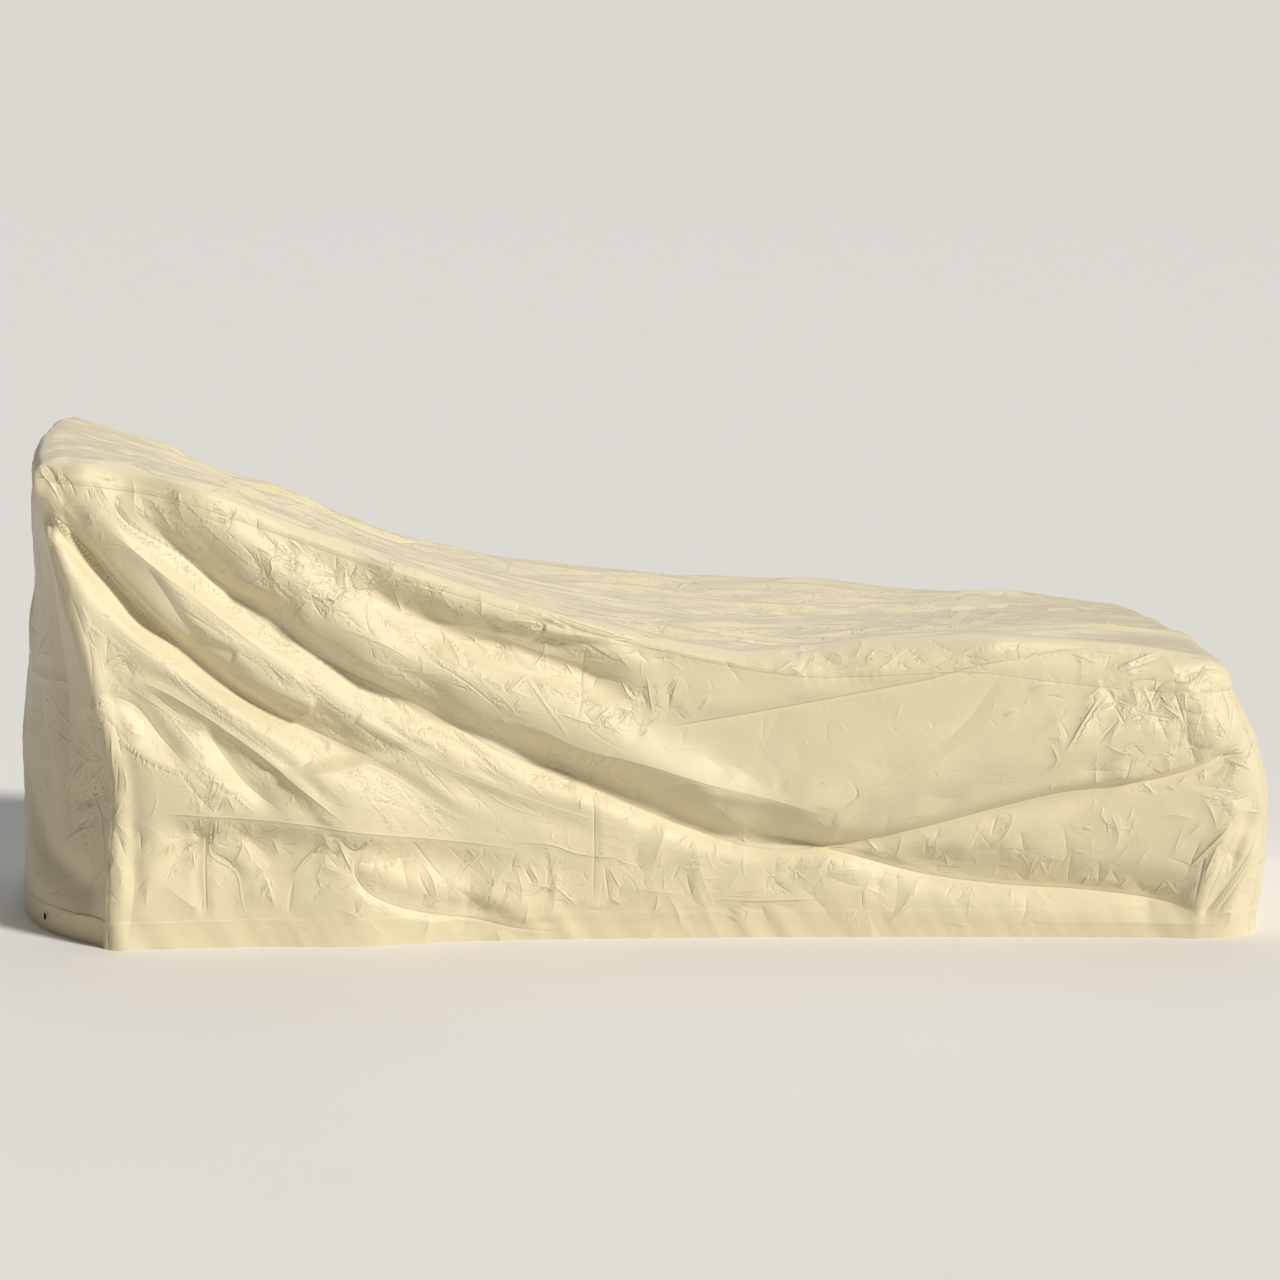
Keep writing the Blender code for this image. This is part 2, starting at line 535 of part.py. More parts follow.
def eyelet(place, material, root):
    """Ring turned from its section about its own axis."""
    bm = bmesh.new()
    verts = [bm.verts.new((radius, 0.0, height)) for radius, height in eyelet_profile()]
    edges = [bm.edges.new((a, b)) for a, b in zip(verts, verts[1:] + verts[:1])]
    bmesh.ops.spin(bm, geom=verts + edges, cent=(0, 0, 0), axis=(0, 0, 1),
                   angle=2 * math.pi, steps=EYELET_SEGMENTS, use_merge=True)
    bmesh.ops.remove_doubles(bm, verts=bm.verts[:], dist=WELD_DISTANCE)
    bmesh.ops.recalc_face_normals(bm, faces=bm.faces[:])
    mesh = bpy.data.meshes.new("eyelet_ring")
    bm.to_mesh(mesh)
    bm.free()
    mesh.shade_smooth()
    mesh.set_sharp_from_angle(angle=math.radians(METAL_SHARP_DEGREES))
    return add_object("eyelet_ring", mesh, material, root, place)


# ---------------------------------------------------------------- materials
def material_of(name, finish):
    """A sub-part's own material, with one of the finishes."""
    material = bpy.data.materials.new(name)
    material.use_nodes = True
    shader = material.node_tree.nodes["Principled BSDF"]
    shader.inputs["Base Color"].default_value = finish.colour
    shader.inputs["Roughness"].default_value = finish.roughness
    shader.inputs["Metallic"].default_value = finish.metallic
    shader.inputs["Sheen Weight"].default_value = finish.sheen
    material.diffuse_color = finish.colour
    return material


def polyester(name):
    return material_of(f"{name}_polyester", POLYESTER)


def hem_polyester(name):
    return material_of(f"{name}_hem_polyester", HEM_POLYESTER)


def plated_metal(name):
    return material_of(f"{name}_plated_metal", PLATED_METAL)


# ---------------------------------------------------------------- build
def clear_scene():
    for thing in list(bpy.data.objects):
        bpy.data.objects.remove(thing, do_unlink=True)


def main():
    clear_scene()
    root = bpy.data.objects.new("lounge_chair_cover", None)
    bpy.context.scene.collection.objects.link(root)
    flat, grids = cloth_grids()
    points, push = fold_cloth(flat, grids)
    normals = point_normals(points, grids)
    straighten_seams(normals, grids["near"])
    made = {}
    for name, grid in panel_grids(grids).items():
        cloth = hem_polyester(name) if name == "head_hem_strip" else polyester(name)
        made[name] = panel(name, points[grid], normals[grid], push[grid], cloth, root)
    place = eyelet_place(points[grids["head"]][:HEM_ROWS + 1:HEM_ROWS, ::PLAIN_STEP])
    hole = made["head_hem_strip"].modifiers.new("eyelet_hole", "BOOLEAN")
    hole.operation = "DIFFERENCE"
    hole.solver = "EXACT"
    hole.object = eyelet_hole_cutter(
        place, EYELET_HOLE_RADIUS + EYELET_METAL + EYELET_CLEARANCE)
    eyelet(place, plated_metal("eyelet_ring"), root)


main()
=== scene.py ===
"""Looks of a garden lounge chair cover: five cut panels of beige coated polyester, draped in
their folds and crinkled from the packet, with felled and topstitched seams, a stitched hem, and
a hem strip at the head end with one pressed metal eyelet.

Metres, +Z up. The head end is at -X, the near side faces -Y and the hem stands on z = 0.
"""
import math
from collections import namedtuple
from functools import lru_cache

import bmesh
import bpy
import numpy as np
from bpy.props import (FloatProperty, FloatVectorProperty, IntProperty, PointerProperty)
from mathutils import Matrix, Vector


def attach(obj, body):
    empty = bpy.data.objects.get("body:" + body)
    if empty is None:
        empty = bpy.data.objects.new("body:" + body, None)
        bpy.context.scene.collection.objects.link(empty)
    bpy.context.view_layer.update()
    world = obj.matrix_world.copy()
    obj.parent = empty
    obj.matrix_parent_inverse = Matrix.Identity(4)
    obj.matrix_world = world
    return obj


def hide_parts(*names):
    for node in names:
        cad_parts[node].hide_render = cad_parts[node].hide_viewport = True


bl_info = {
    "name": "Lounge Chair Cover",
    "version": (1, 0, 0),
    "blender": (4, 5, 0),
    "location": "3D View > Sidebar > Cover",
    "description": "Makes a draped garden lounge chair cover with its creases, seams and hem",
    "category": "Add Mesh",
}

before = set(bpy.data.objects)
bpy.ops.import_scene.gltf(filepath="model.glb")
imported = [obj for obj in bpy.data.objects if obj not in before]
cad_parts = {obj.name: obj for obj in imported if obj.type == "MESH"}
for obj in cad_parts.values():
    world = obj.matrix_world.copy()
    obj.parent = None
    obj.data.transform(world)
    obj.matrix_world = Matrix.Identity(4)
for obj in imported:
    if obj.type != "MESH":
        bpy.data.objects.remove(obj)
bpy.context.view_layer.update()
MILLIMETRES = 1000.0         # in a metre

# ------------ the cloth and its cells
CLOTH_THICKNESS = 0.0016
SEAM_GAP = 0.0004
BACK_CLEARANCE = 0.0003      # added to the thickness, so that the inner face never shows through
EDGE_INSET = 0.048           # how far in from its edges the top starts to roll over
HEM_HEIGHT = 0.044

COLUMNS_LONG = 548           # cells along a long side
COLUMNS_END = 160            # cells across an end, and across the top
ROWS = 160                   # cells from hem to seam
HEM_ROWS = 14                # of those, the ones in the height of the hem
BACK_STEP_LONG = 4           # the inner face keeps every fourth point lengthwise
BACK_STEP_UP = 4
CROWD = 0.85                 # how much closer the cells stand at a seam
CROWD_CELLS = 4.0            # and over how many of them
OUTLINE_STEPS = 48           # points of half a rounded corner, of a side and of a route's run
SIDE_STEPS = 256
ROUTE_STEPS = 20
TOP_STRIPS = 40              # strips in which the top's distance from its edges is worked out
NORMAL_ROUNDS = 8            # how often the directions are evened
RIM_SHARP_DEGREES = 60

# ------------ folds, creases and seams
FACING_LOW = 0.25            # a fold dies out where the cloth turns away from its face
FACING_HIGH = 0.75
FOLD_HOLD = 0.07             # from a head corner's stiff seam to where the folds are free
CREST_SPREAD = 0.6           # half width of a crest, as a share of the fold's reach
FOLD_FELT = 3                # how many widths away a fold is felt
CREASE_FELT = 3.2            # and a crease
THIN_FELT = 4                # and a stroke or a crinkle

LINE_FULL = 0.0045           # a sharp line keeps its height this far to either side, for the shader
LINE_GONE = 0.0080
LINE_FAR = 0.015             # and its distance is known this far
LINE_CLEAR = 0.003           # a crinkle is gone this close to a main crease

STROKE_RUN_OUT = 0.35        # share of its length over which a stroke fades, at either end
STROKE_LINE = 0.85           # its sharp line, as a share of its rise
STROKE_BODY = 0.5            # and how much of the rise the cloth beside the line has

CRINKLE_PLACE = 0.5          # how a crinkle's place spreads, as a share of its patch's size
CRINKLE_LENGTH = (0.5, 1.4)  # the least and the most of its patch's length, half width and height
CRINKLE_SLIM = (0.6, 1.5)
CRINKLE_STRENGTH = (0.4, 1.5)
CRINKLE_BEND = (-0.25, 0.25)     # as a share of half its length

WAVE_REACH = 2.0             # uneven waves are worked out this far to either side of the middle
WAVE_KNOTS = 2.3             # pitches from one change of the wave to the next
WAVE_SHIFT = 0.35
WAVE_LEAST = 0.1
WAVE_POWER = 1.5

CORNER_QUIET = 0.03          # no puckers this close to a corner of a panel
PUCKER_SEED = 11
FELLED_START = (0.0015, 0.003)   # where the stitched-down allowance rises beside its seam
FELLED_EDGE = 0.001          # and half of the run over which it ends
HEM_STEP = 0.0012            # height over which the doubled hem ends
HEM_PUCKER_PITCH = 0.058
HEM_PUCKER_HEIGHT = 0.0011
HEM_PUCKER_WAVES = ((1.0, 31), (1.7, 37))    # each wave's pitch, in pitches, and its seed
SMALL_PUCKER_PITCH = 1.4     # the hem's small puckers, as shares of those along a seam
SMALL_PUCKER_HEIGHT = 0.6
SMALL_PUCKER_REACH = 0.8
SMALL_PUCKER_SEED = 29

# ------------ finishes, thread and eyelet
BROAD_CRUMPLE = (24.0, 1.0, 0.5, 0.6)    # noises: scale, detail, roughness and distortion
FINE_CRUMPLE = (70.0, 1.0, 0.5, 0.8)
EITHER_WAY = (12.0, 1.0)
CLOUDY = (3.0, 4.0, 0.6)
SPECKLED = (240.0, 2.0, 0.6)
FUZZY = (900.0, 2.0, 0.6)
TARNISHED = (260.0, 3.0, 0.6)
FLOOR_TONE = (2.0, 2.0)
NOISE_MIDDLE = 0.5
BLOTCHES = (0.45, 0.75)      # the noise between which a blotch begins and is whole
CRUMPLE_LEAN = math.radians(22)  # which way the crumple is drawn out, and how far
CRUMPLE_DRAWN = 2.2
BROAD_HEIGHT = 0.0040
FINE_HEIGHT = 0.0012
CRUMPLE_SWING = 5.0          # how quickly it turns from valleys to ridges
CRUMPLE_LEAST = 0.35         # its share where the cloth is smooth
RIDGE_SLIM = 0.0016          # half width of a crease's sharp line
WORN_SHARE = 0.35
SPECKLED_SHARE = 0.10
CLOUDY_DULLNESS = 0.16       # how much the roughness changes from place to place
SPECKLED_DULLNESS = 0.10
FUZZ_HEIGHT = 0.0001
TARNISH_SHARE = 0.6
TARNISH_DARKNESS = 0.55
TARNISH_HEIGHT = 0.00003
METAL_ROUGHNESS = 0.2
METAL_DULLNESS = 0.25

STITCH_TURN = 0.09           # most that a stitch is turned out of its row, in radians
STITCH_SEED = 3
STITCH_LIFT = 0.2            # as a share of the thread's thickness
STITCH_SEGMENTS = 6
STITCH_RINGS = 4

EYELET_SEGMENTS = 64
LIP_ARC_STEPS = 8
HOLE_SEGMENTS = 48
HOLE_CUTTER_LENGTH = 0.02
MERGE_DISTANCE = 0.00001
METAL_SHARP_DEGREES = 40

# ------------ stage
FLOOR_RADIUS = 60.0
FLOOR_SEGMENTS = 96
FLOOR_SHADE = 0.97           # of the floor's colour, in its darker places
FRAME_WIDTH = 36.0           # of the camera, in millimetres
KEY_COLOUR = (1.0, 0.96, 0.89)
TOP_COLOUR = (0.90, 0.94, 1.0)
FILL_COLOUR = (1.0, 0.93, 0.80)
TOP_SOFTNESS = math.radians(60)

# ------------ the shape that the solids have
# Height of the top along its near edge, its middle line and its far edge, and how far it rolls
# down over either edge before it meets the side. In millimetres.
Section = namedtuple("Section", "x near middle far near_roll far_roll")
SECTIONS = [Section(*(size / MILLIMETRES for size in row)) for row in (
    (-965, 768, 780, 784, 36, 34),
    (-860, 757, 756, 748, 36, 34),
    (-710, 727, 704, 692, 36, 36),
    (-560, 672, 646, 637, 34, 36),
    (-400, 611, 582, 578, 30, 38),
    (-250, 562, 534, 543, 26, 40),
    (-90, 514, 492, 527, 22, 40),
    (70, 474, 466, 510, 24, 40),
    (230, 462, 455, 503, 38, 42),
    (390, 482, 455, 496, 56, 44),
    (510, 498, 456, 488, 68, 44),
    (640, 488, 458, 479, 74, 44),
    (790, 470, 458, 463, 70, 42),
    (910, 448, 450, 447, 50, 40),
)]

# Corners from hem to seam. bow is how far the end swells at its middle, and fullness how squarely.
Corner = namedtuple("Corner", "level near_x near_y far_x far_y bow fullness")
HEAD_CORNERS = (
    Corner(0.00, -0.865, -0.398, -0.900, 0.386, 0.134, 3.0),
    Corner(0.06, -0.865, -0.398, -0.900, 0.386, 0.134, 3.0),
    Corner(0.22, -0.859, -0.392, -0.902, 0.382, 0.136, 2.2),
    Corner(0.38, -0.857, -0.386, -0.905, 0.378, 0.136, 2.0),
    Corner(0.52, -0.884, -0.376, -0.920, 0.371, 0.105, 2.0),
    Corner(0.61, -0.901, -0.370, -0.930, 0.366, 0.086, 2.0),
    Corner(0.72, -0.925, -0.363, -0.944, 0.360, 0.058, 2.0),
    Corner(0.85, -0.948, -0.356, -0.962, 0.354, 0.040, 2.0),
    Corner(1.00, -0.964, -0.350, -0.980, 0.349, 0.018, 2.0),
)
FOOT_CORNERS = (
    Corner(0.00, 0.998, -0.388, 0.994, 0.380, 0.012, 2.0),
    Corner(0.06, 1.003, -0.388, 0.998, 0.380, 0.012, 2.0),
    Corner(0.40, 1.014, -0.382, 1.010, 0.376, 0.014, 2.0),
    Corner(0.65, 1.006, -0.372, 1.002, 0.368, 0.012, 2.0),
    Corner(0.88, 0.972, -0.359, 0.968, 0.356, 0.010, 2.0),
    Corner(1.00, 0.946, -0.350, 0.942, 0.349, 0.008, 2.0),
)
HEAD_CORNER_ROUND = (0.030, 0.036)      # straight run a corner takes up, at the hem and the seam
FOOT_CORNER_ROUND = (0.130, 0.065)
SIDE_WAIST = (-0.050, 0.0)
WAIST_FULLNESS = 2.0


def in_metres(kind, faces):
    """Each face's records, from rows in millimetres: a name where the record has one, its sizes
    and then the points of its route."""
    names = int("name" in kind._fields)
    points = len(kind._fields) - 1
    return {face: [kind(*row[:names], *(size / MILLIMETRES for size in row[names:points]),
                        np.reshape(row[points:], (-1, 2)) / MILLIMETRES) for row in rows]
            for face, rows in faces.items()}


# A fold follows a route over one face: (x, z) on a side, (x, y) on the top, (y, z) on an end.
# trough is how far it goes in along the route, and crest how far the cloth swells at its reach
# on the left. It fades in over its start and out over its end.
Fold = namedtuple("Fold", "name trough crest reach width start end route")
FOLDS = in_metres(Fold, {"near": (
    ("head drape, lower", 30, 14, 58, 26, 50, 480,
     -972, 740, -912, 662, -775, 505, -640, 392, -500, 318, -370, 250, -230, 190),
    ("head drape, long", 20, 24, 68, 24, 160, 120,
     -870, 725, -735, 622, -610, 520, -455, 412, -260, 327, -110, 266, 0, 212, 140, 160, 350, 156),
    ("seat drape", 16, 13, 48, 26, 100, 120, -500, 575, -330, 502, -135, 440, 0, 380),
    ("roll under the head drape", -14, 0, 40, 30, 120, 120,
     -850, 510, -720, 412, -610, 325, -500, 230),
    ("low head fold", 12, 0, 40, 20, 50, 60, -862, 405, -814, 378, -727, 285),
    ("low middle fold", 13, 0, 40, 22, 70, 70, -712, 352, -645, 270, -575, 205),
    ("swell over the hem", -22, 0, 40, 110, 20, 20, -500, 300, -480, 150, -470, 0),
    ("swell by the head", -17, 0, 40, 85, 200, 220, -890, 250, -650, 240, -360, 200),
    ("hem hollow", 8, 0, 40, 18, 80, 80, -480, 110, -380, 72, -215, 45),
    ("belly line", 12, 26, 88, 24, 220, 100,
     160, 160, 340, 160, 550, 204, 770, 246, 915, 292, 985, 350),
    ("hollow under the belly", 30, 0, 40, 36, 340, 120,
     130, 170, 290, 144, 400, 114, 550, 94, 790, 70, 920, 45),
    ("foot corner fold", 10, 6, 32, 16, 60, 70, 888, 10, 914, 79, 947, 149, 980, 250),
    ("head corner tuck", 10, 0, 30, 15, 100, 60, -915, 580, -862, 420, -826, 260, -818, 60),
), "top": (
    ("seat valley", 10, 0, 40, 36, 200, 200, -250, -230, 50, -250, 330, -180, 620, -130),
    ("foot hollow", 12, 0, 40, 50, 200, 200, 360, -140, 600, -190, 860, -150),
    ("long far ripple", 7, 0, 40, 30, 300, 300, -900, 210, -400, 230, 100, 170),
), "far": (
    ("head drape, lower", 26, 12, 56, 30, 140, 80,
     -240, 205, -420, 270, -600, 370, -760, 500, -930, 690),
    ("head drape, long", 20, 18, 66, 30, 160, 140,
     300, 160, 80, 210, -160, 300, -400, 400, -640, 545, -860, 715),
    ("belly line", 14, 20, 84, 28, 120, 140, 985, 340, 780, 250, 520, 200, 260, 180),
    ("hollow under the belly", 22, 0, 40, 36, 140, 160, 900, 60, 600, 90, 300, 130, 100, 150),
), "head": (
    ("flare of the hem", 14, 0, 40, 30, 60, 100, -385, 75, -290, 100, -150, 150, 10, 230),
    ("near hang", 12, 0, 40, 34, 140, 140, -300, 690, -250, 480, -270, 250),
    ("far hang", 11, 0, 40, 38, 140, 140, 200, 660, 170, 420, 200, 160),
), "foot": (
    ("near hang", 10, 0, 40, 36, 120, 120, -170, 360, -150, 220, -180, 60),
    ("far hang", 10, 0, 40, 36, 120, 120, 180, 380, 130, 240, 150, 60),
)})
# The two axes a face is measured along, and the direction it looks.
FACES = {
    "near": ((0, 2), (0.0, -1.0, 0.0)),
    "far": ((0, 2), (0.0, 1.0, 0.0)),
    "top": ((0, 1), (0.0, 0.0, 1.0)),
    "head": ((1, 2), (-1.0, 0.0, 0.0)),
    "foot": ((1, 2), (1.0, 0.0, 0.0)),
}

# Creases, listed one by one. left and right are how far the cloth swells beside the line (or sinks,
# if negative), and their widths how far out that is. line is the height of the sharp line itself.
Crease = namedtuple("Crease", "name left left_width right right_width start end line route")
CREASES = in_metres(Crease, {"near": (
    ("lower drape", 4, 24, 2, 16, 40, 450, -1.2,
     -968, 700, -923, 650, -850, 569, -790, 506, -724, 446, -619, 375, -517, 328, -422, 283,
     -326, 217, -261, 198),
    ("upper edge of the long drape", -1, 14, -4, 18, 30, 60, 0.6,
     -847, 709, -813, 667, -758, 628, -676, 580, -597, 543),
    ("overhang of the long drape", 6, 22, 1, 14, 50, 50, -1.3,
     -597, 524, -556, 474, -496, 437, -394, 388, -303, 336, -255, 309, -206, 290, -141, 272,
     -92, 246, -20, 212, 79, 170, 148, 149, 213, 142, 267, 143, 343, 155),
    ("ridge of the long drape", -2, 20, -12, 44, 140, 100, 0.9,
     -277, 368, -193, 347, -113, 312, -14, 286, 91, 253, 186, 230, 288, 200),
    ("upper edge of the seat drape", -1, 12, -4, 16, 50, 60, 0.5,
     -451, 551, -385, 503, -324, 502, -247, 486, -182, 463, -111, 443, -25, 415),
    ("lower edge of the seat drape", 2, 18, 2, 14, 50, 60, -0.5,
     -340, 470, -250, 440, -160, 420, -80, 395, -30, 385),
    ("ray below the lower drape, a", -3, 12, -3, 22, 50, 80, 0.4,
     -906, 687, -832, 593, -719, 484, -640, 430, -540, 380),
    ("low head line", 4, 14, 1, 12, 30, 40, -1, -858, 401, -814, 382, -771, 329, -727, 285),
    ("low middle line", 4, 14, 1, 12, 30, 50, -1, -708, 348, -645, 264, -581, 212),
    ("upper line of the hollow", 4, 16, 3, 16, 60, 60, -1.4,
     150, 166, 213, 158, 312, 134, 435, 100, 566, 82, 696, 74, 808, 61, 877, 44),
    ("belly line", 5, 16, 1, 14, 40, 50, -1.3,
     300, 147, 429, 177, 540, 207, 650, 235, 751, 247, 830, 262, 893, 284, 963, 326),
    ("upright line of the seat, low", 0.6, 9, -0.3, 9, 60, 60, -1, -97, 250, -94, 150, -95, 50),
    ("straight line over the belly", 6, 20, 1, 14, 50, 60, -1.4,
     9, 341, 172, 369, 283, 389, 367, 405, 433, 418, 501, 436, 600, 456),
    ("lower edge of the seat valley", -2, 12, -1, 12, 50, 60, 0.8,
     -151, 497, -87, 486, -57, 478, 41, 463, 114, 458, 230, 457),
    ("foot corner, first", 4, 12, 2, 10, 20, 30, -1.2, 884, 29, 929, 88, 958, 130, 984, 174),
    ("foot corner, second", 3, 10, 2, 8, 20, 30, -1, 906, 32, 949, 95, 992, 149),
    ("pressed line from the packet", 0, 14, -14, 44, 50, 100, 1.2,
     -783, 217, -706, 212, -587, 202, -491, 188, -406, 175, -285, 159, -193, 145),
    ("lower edge of the lens over the hem", 12, 34, 1, 14, 50, 100, -1.2,
     -466, 154, -472, 114, -442, 79, -375, 52, -284, 36, -216, 20, -130, 10),
    ("crisp ray between the drapes", -5, 14, -7, 20, 60, 60, 1.4,
     -817, 428, -746, 392, -646, 326, -551, 251, -479, 191),
    ("second ray between the drapes", -3, 12, -3, 12, 60, 100, 1,
     -705, 368, -652, 332, -598, 292, -527, 244),
    ("soft ray to the seat, a", 4, 18, -4, 18, 80, 100, 0.6,
     -467, 361, -346, 289, -224, 237, -102, 196, -28, 173),
    ("soft ray to the seat, b", 4, 16, -3, 16, 80, 100, -0.6,
     -515, 318, -418, 274, -327, 214, -248, 182),
    ("edge of the shade by the head", 4, 20, 0, 10, 20, 30, 1.2,
     -694, 211, -699, 150, -659, 118, -650, 75, -642, 49),
    ("upright line by the head", 1, 10, -2, 8, 20, 30, -1.4, -704, 193, -706, 119, -704, 46),
    ("start of the lower drape", 10, 22, -8, 14, 20, 100, -2.2,
     -1000, 712, -955, 690, -922, 663, -888, 626, -837, 559, -786, 507, -735, 456),
    ("start of the long drape", 9, 20, 0, 14, 30, 160, -1.6,
     -850, 710, -824, 669, -744, 617, -682, 565, -631, 533, -585, 508),
    ("lit ray beside the long drape", -4, 16, -4, 16, 80, 140, 1,
     -868, 672, -784, 600, -723, 553, -631, 480, -564, 437),
    ("shaded ray beside the long drape", 4, 14, 2, 14, 60, 100, -0.8,
     -809, 621, -764, 553, -718, 489, -662, 459),
    ("edge of the top, head", 4, 22, -3, 20, 60, 200, 0.8,
     -928, 760, -836, 746, -758, 730, -681, 706, -600, 670, -527, 634, -450, 599),
    ("corner flap by the head", 5, 18, 0, 12, 20, 50, 1.2,
     -946, 632, -933, 592, -920, 552, -908, 505, -898, 447, -887, 383),
    ("second line by the corner", 3, 14, 1, 12, 30, 50, -1,
     -912, 560, -895, 511, -880, 459, -876, 397),
    ("grey line along the seat edge, a", 3, 12, -1, 10, 60, 100, -1.2,
     -382, 588, -295, 568, -219, 547, -107, 496, 51, 475),
    ("grey line along the seat edge, b", 3, 12, -2, 10, 60, 100, -1.2,
     -226, 528, -119, 514, 29, 469),
    ("lit line along the seat edge", -1, 10, -3, 10, 60, 100, 1.2,
     -177, 501, -132, 493, -86, 487, -42, 488, 22, 470),
    ("dark line over the belly, right", 5, 16, 0, 12, 40, 100, -1.4,
     504, 433, 578, 452, 662, 465, 754, 467),
    ("foot shade line", 4, 14, 0, 12, 40, 50, -1.4,
     732, 399, 777, 418, 821, 415, 867, 426, 901, 433, 938, 422),
), "top": (
    ("fold along the seat, a", 3, 16, 2, 14, 100, 120, -1,
     -430, -150, -200, -110, 50, -60, 280, 0, 500, 30),
    ("fold along the seat, b", 2, 14, 3, 16, 100, 120, -1, -620, -60, -350, 20, -50, 80, 200, 130),
    ("fold along the foot", -2, 14, -2, 12, 100, 100, 0.8,
     230, -240, 420, -200, 640, -230, 850, -200),
    ("fold down the back, near", 3, 18, 2, 16, 100, 140, -1,
     -960, -180, -780, -200, -560, -240, -380, -250),
    ("fold down the back, far", -2, 18, -3, 20, 100, 140, 0.8,
     -940, 120, -700, 90, -450, 130, -200, 150),
), "far": (
    ("lower drape", 2, 16, 9, 24, 100, 60, -1.6,
     -280, 210, -430, 272, -600, 370, -760, 500, -930, 690),
    ("long drape", 1, 16, 11, 26, 80, 100, -1.8,
     300, 160, 80, 205, -160, 290, -400, 390, -640, 535, -820, 680),
    ("belly line", 1, 16, 8, 20, 60, 80, -1.5, 960, 330, 780, 250, 520, 200, 300, 172),
    ("line under the belly", 3, 16, 4, 16, 80, 80, -1.2, 870, 50, 600, 85, 300, 125, 120, 150),
    ("seat drape", 2, 14, 4, 16, 80, 80, -1, 20, 400, -120, 430, -300, 500, -450, 560),
    ("ray between the drapes, a", 3, 16, 4, 20, 80, 80, -1.2,
     -160, 220, -340, 300, -520, 420, -700, 560, -860, 680),
    ("ray between the drapes, b", -4, 14, -5, 20, 80, 80, 1.1,
     -300, 240, -470, 330, -620, 440, -800, 600),
    ("low fold", 2, 14, 5, 20, 60, 60, -1.2, -520, 170, -620, 270, -720, 360),
    ("line over the hem", 4, 18, 5, 20, 60, 100, -1.2, -200, 50, -400, 80, -600, 130, -800, 150),
    ("line down from the seat", 1, 14, 5, 20, 60, 60, -1.2,
     440, 450, 300, 370, 120, 310, -20, 280),
    ("pressed line from the packet", -4, 12, -1, 14, 60, 60, 0.9,
     700, 300, 350, 316, 0, 300, -300, 318),
    ("upright line", 2, 10, -1, 8, 30, 30, -0.9, 210, 470, 204, 300, 212, 110),
), "head": (
    ("pressed line from the packet", -1.5, 14, -1, 12, 60, 60, 0.8,
     -330, 405, -100, 396, 120, 408, 330, 400),
    ("start of the lower drape", 6, 24, -4, 14, 40, 50, -1.2,
     -395, 684, -365, 690, -330, 700, -280, 714),
    ("upright line", 3, 14, -1, 12, 50, 50, -1, -10, 720, 4, 480, -8, 200),
    ("near hang", 4, 18, 2, 16, 60, 80, -1, -310, 690, -252, 480, -268, 250, -300, 100),
    ("slanting line", 2, 14, 3, 16, 60, 80, -1, 320, 690, 220, 480, 60, 230, 30, 80),
), "foot": (
    ("near hang", 4, 16, 2, 14, 50, 50, -1, -200, 380, -152, 220, -180, 60),
    ("slanting line", 3, 14, 2, 14, 50, 50, -1, -60, 370, 60, 240, 240, 90),
    ("far hang", 2, 14, 3, 16, 50, 50, -1, 230, 380, 140, 240, 150, 60),
)})

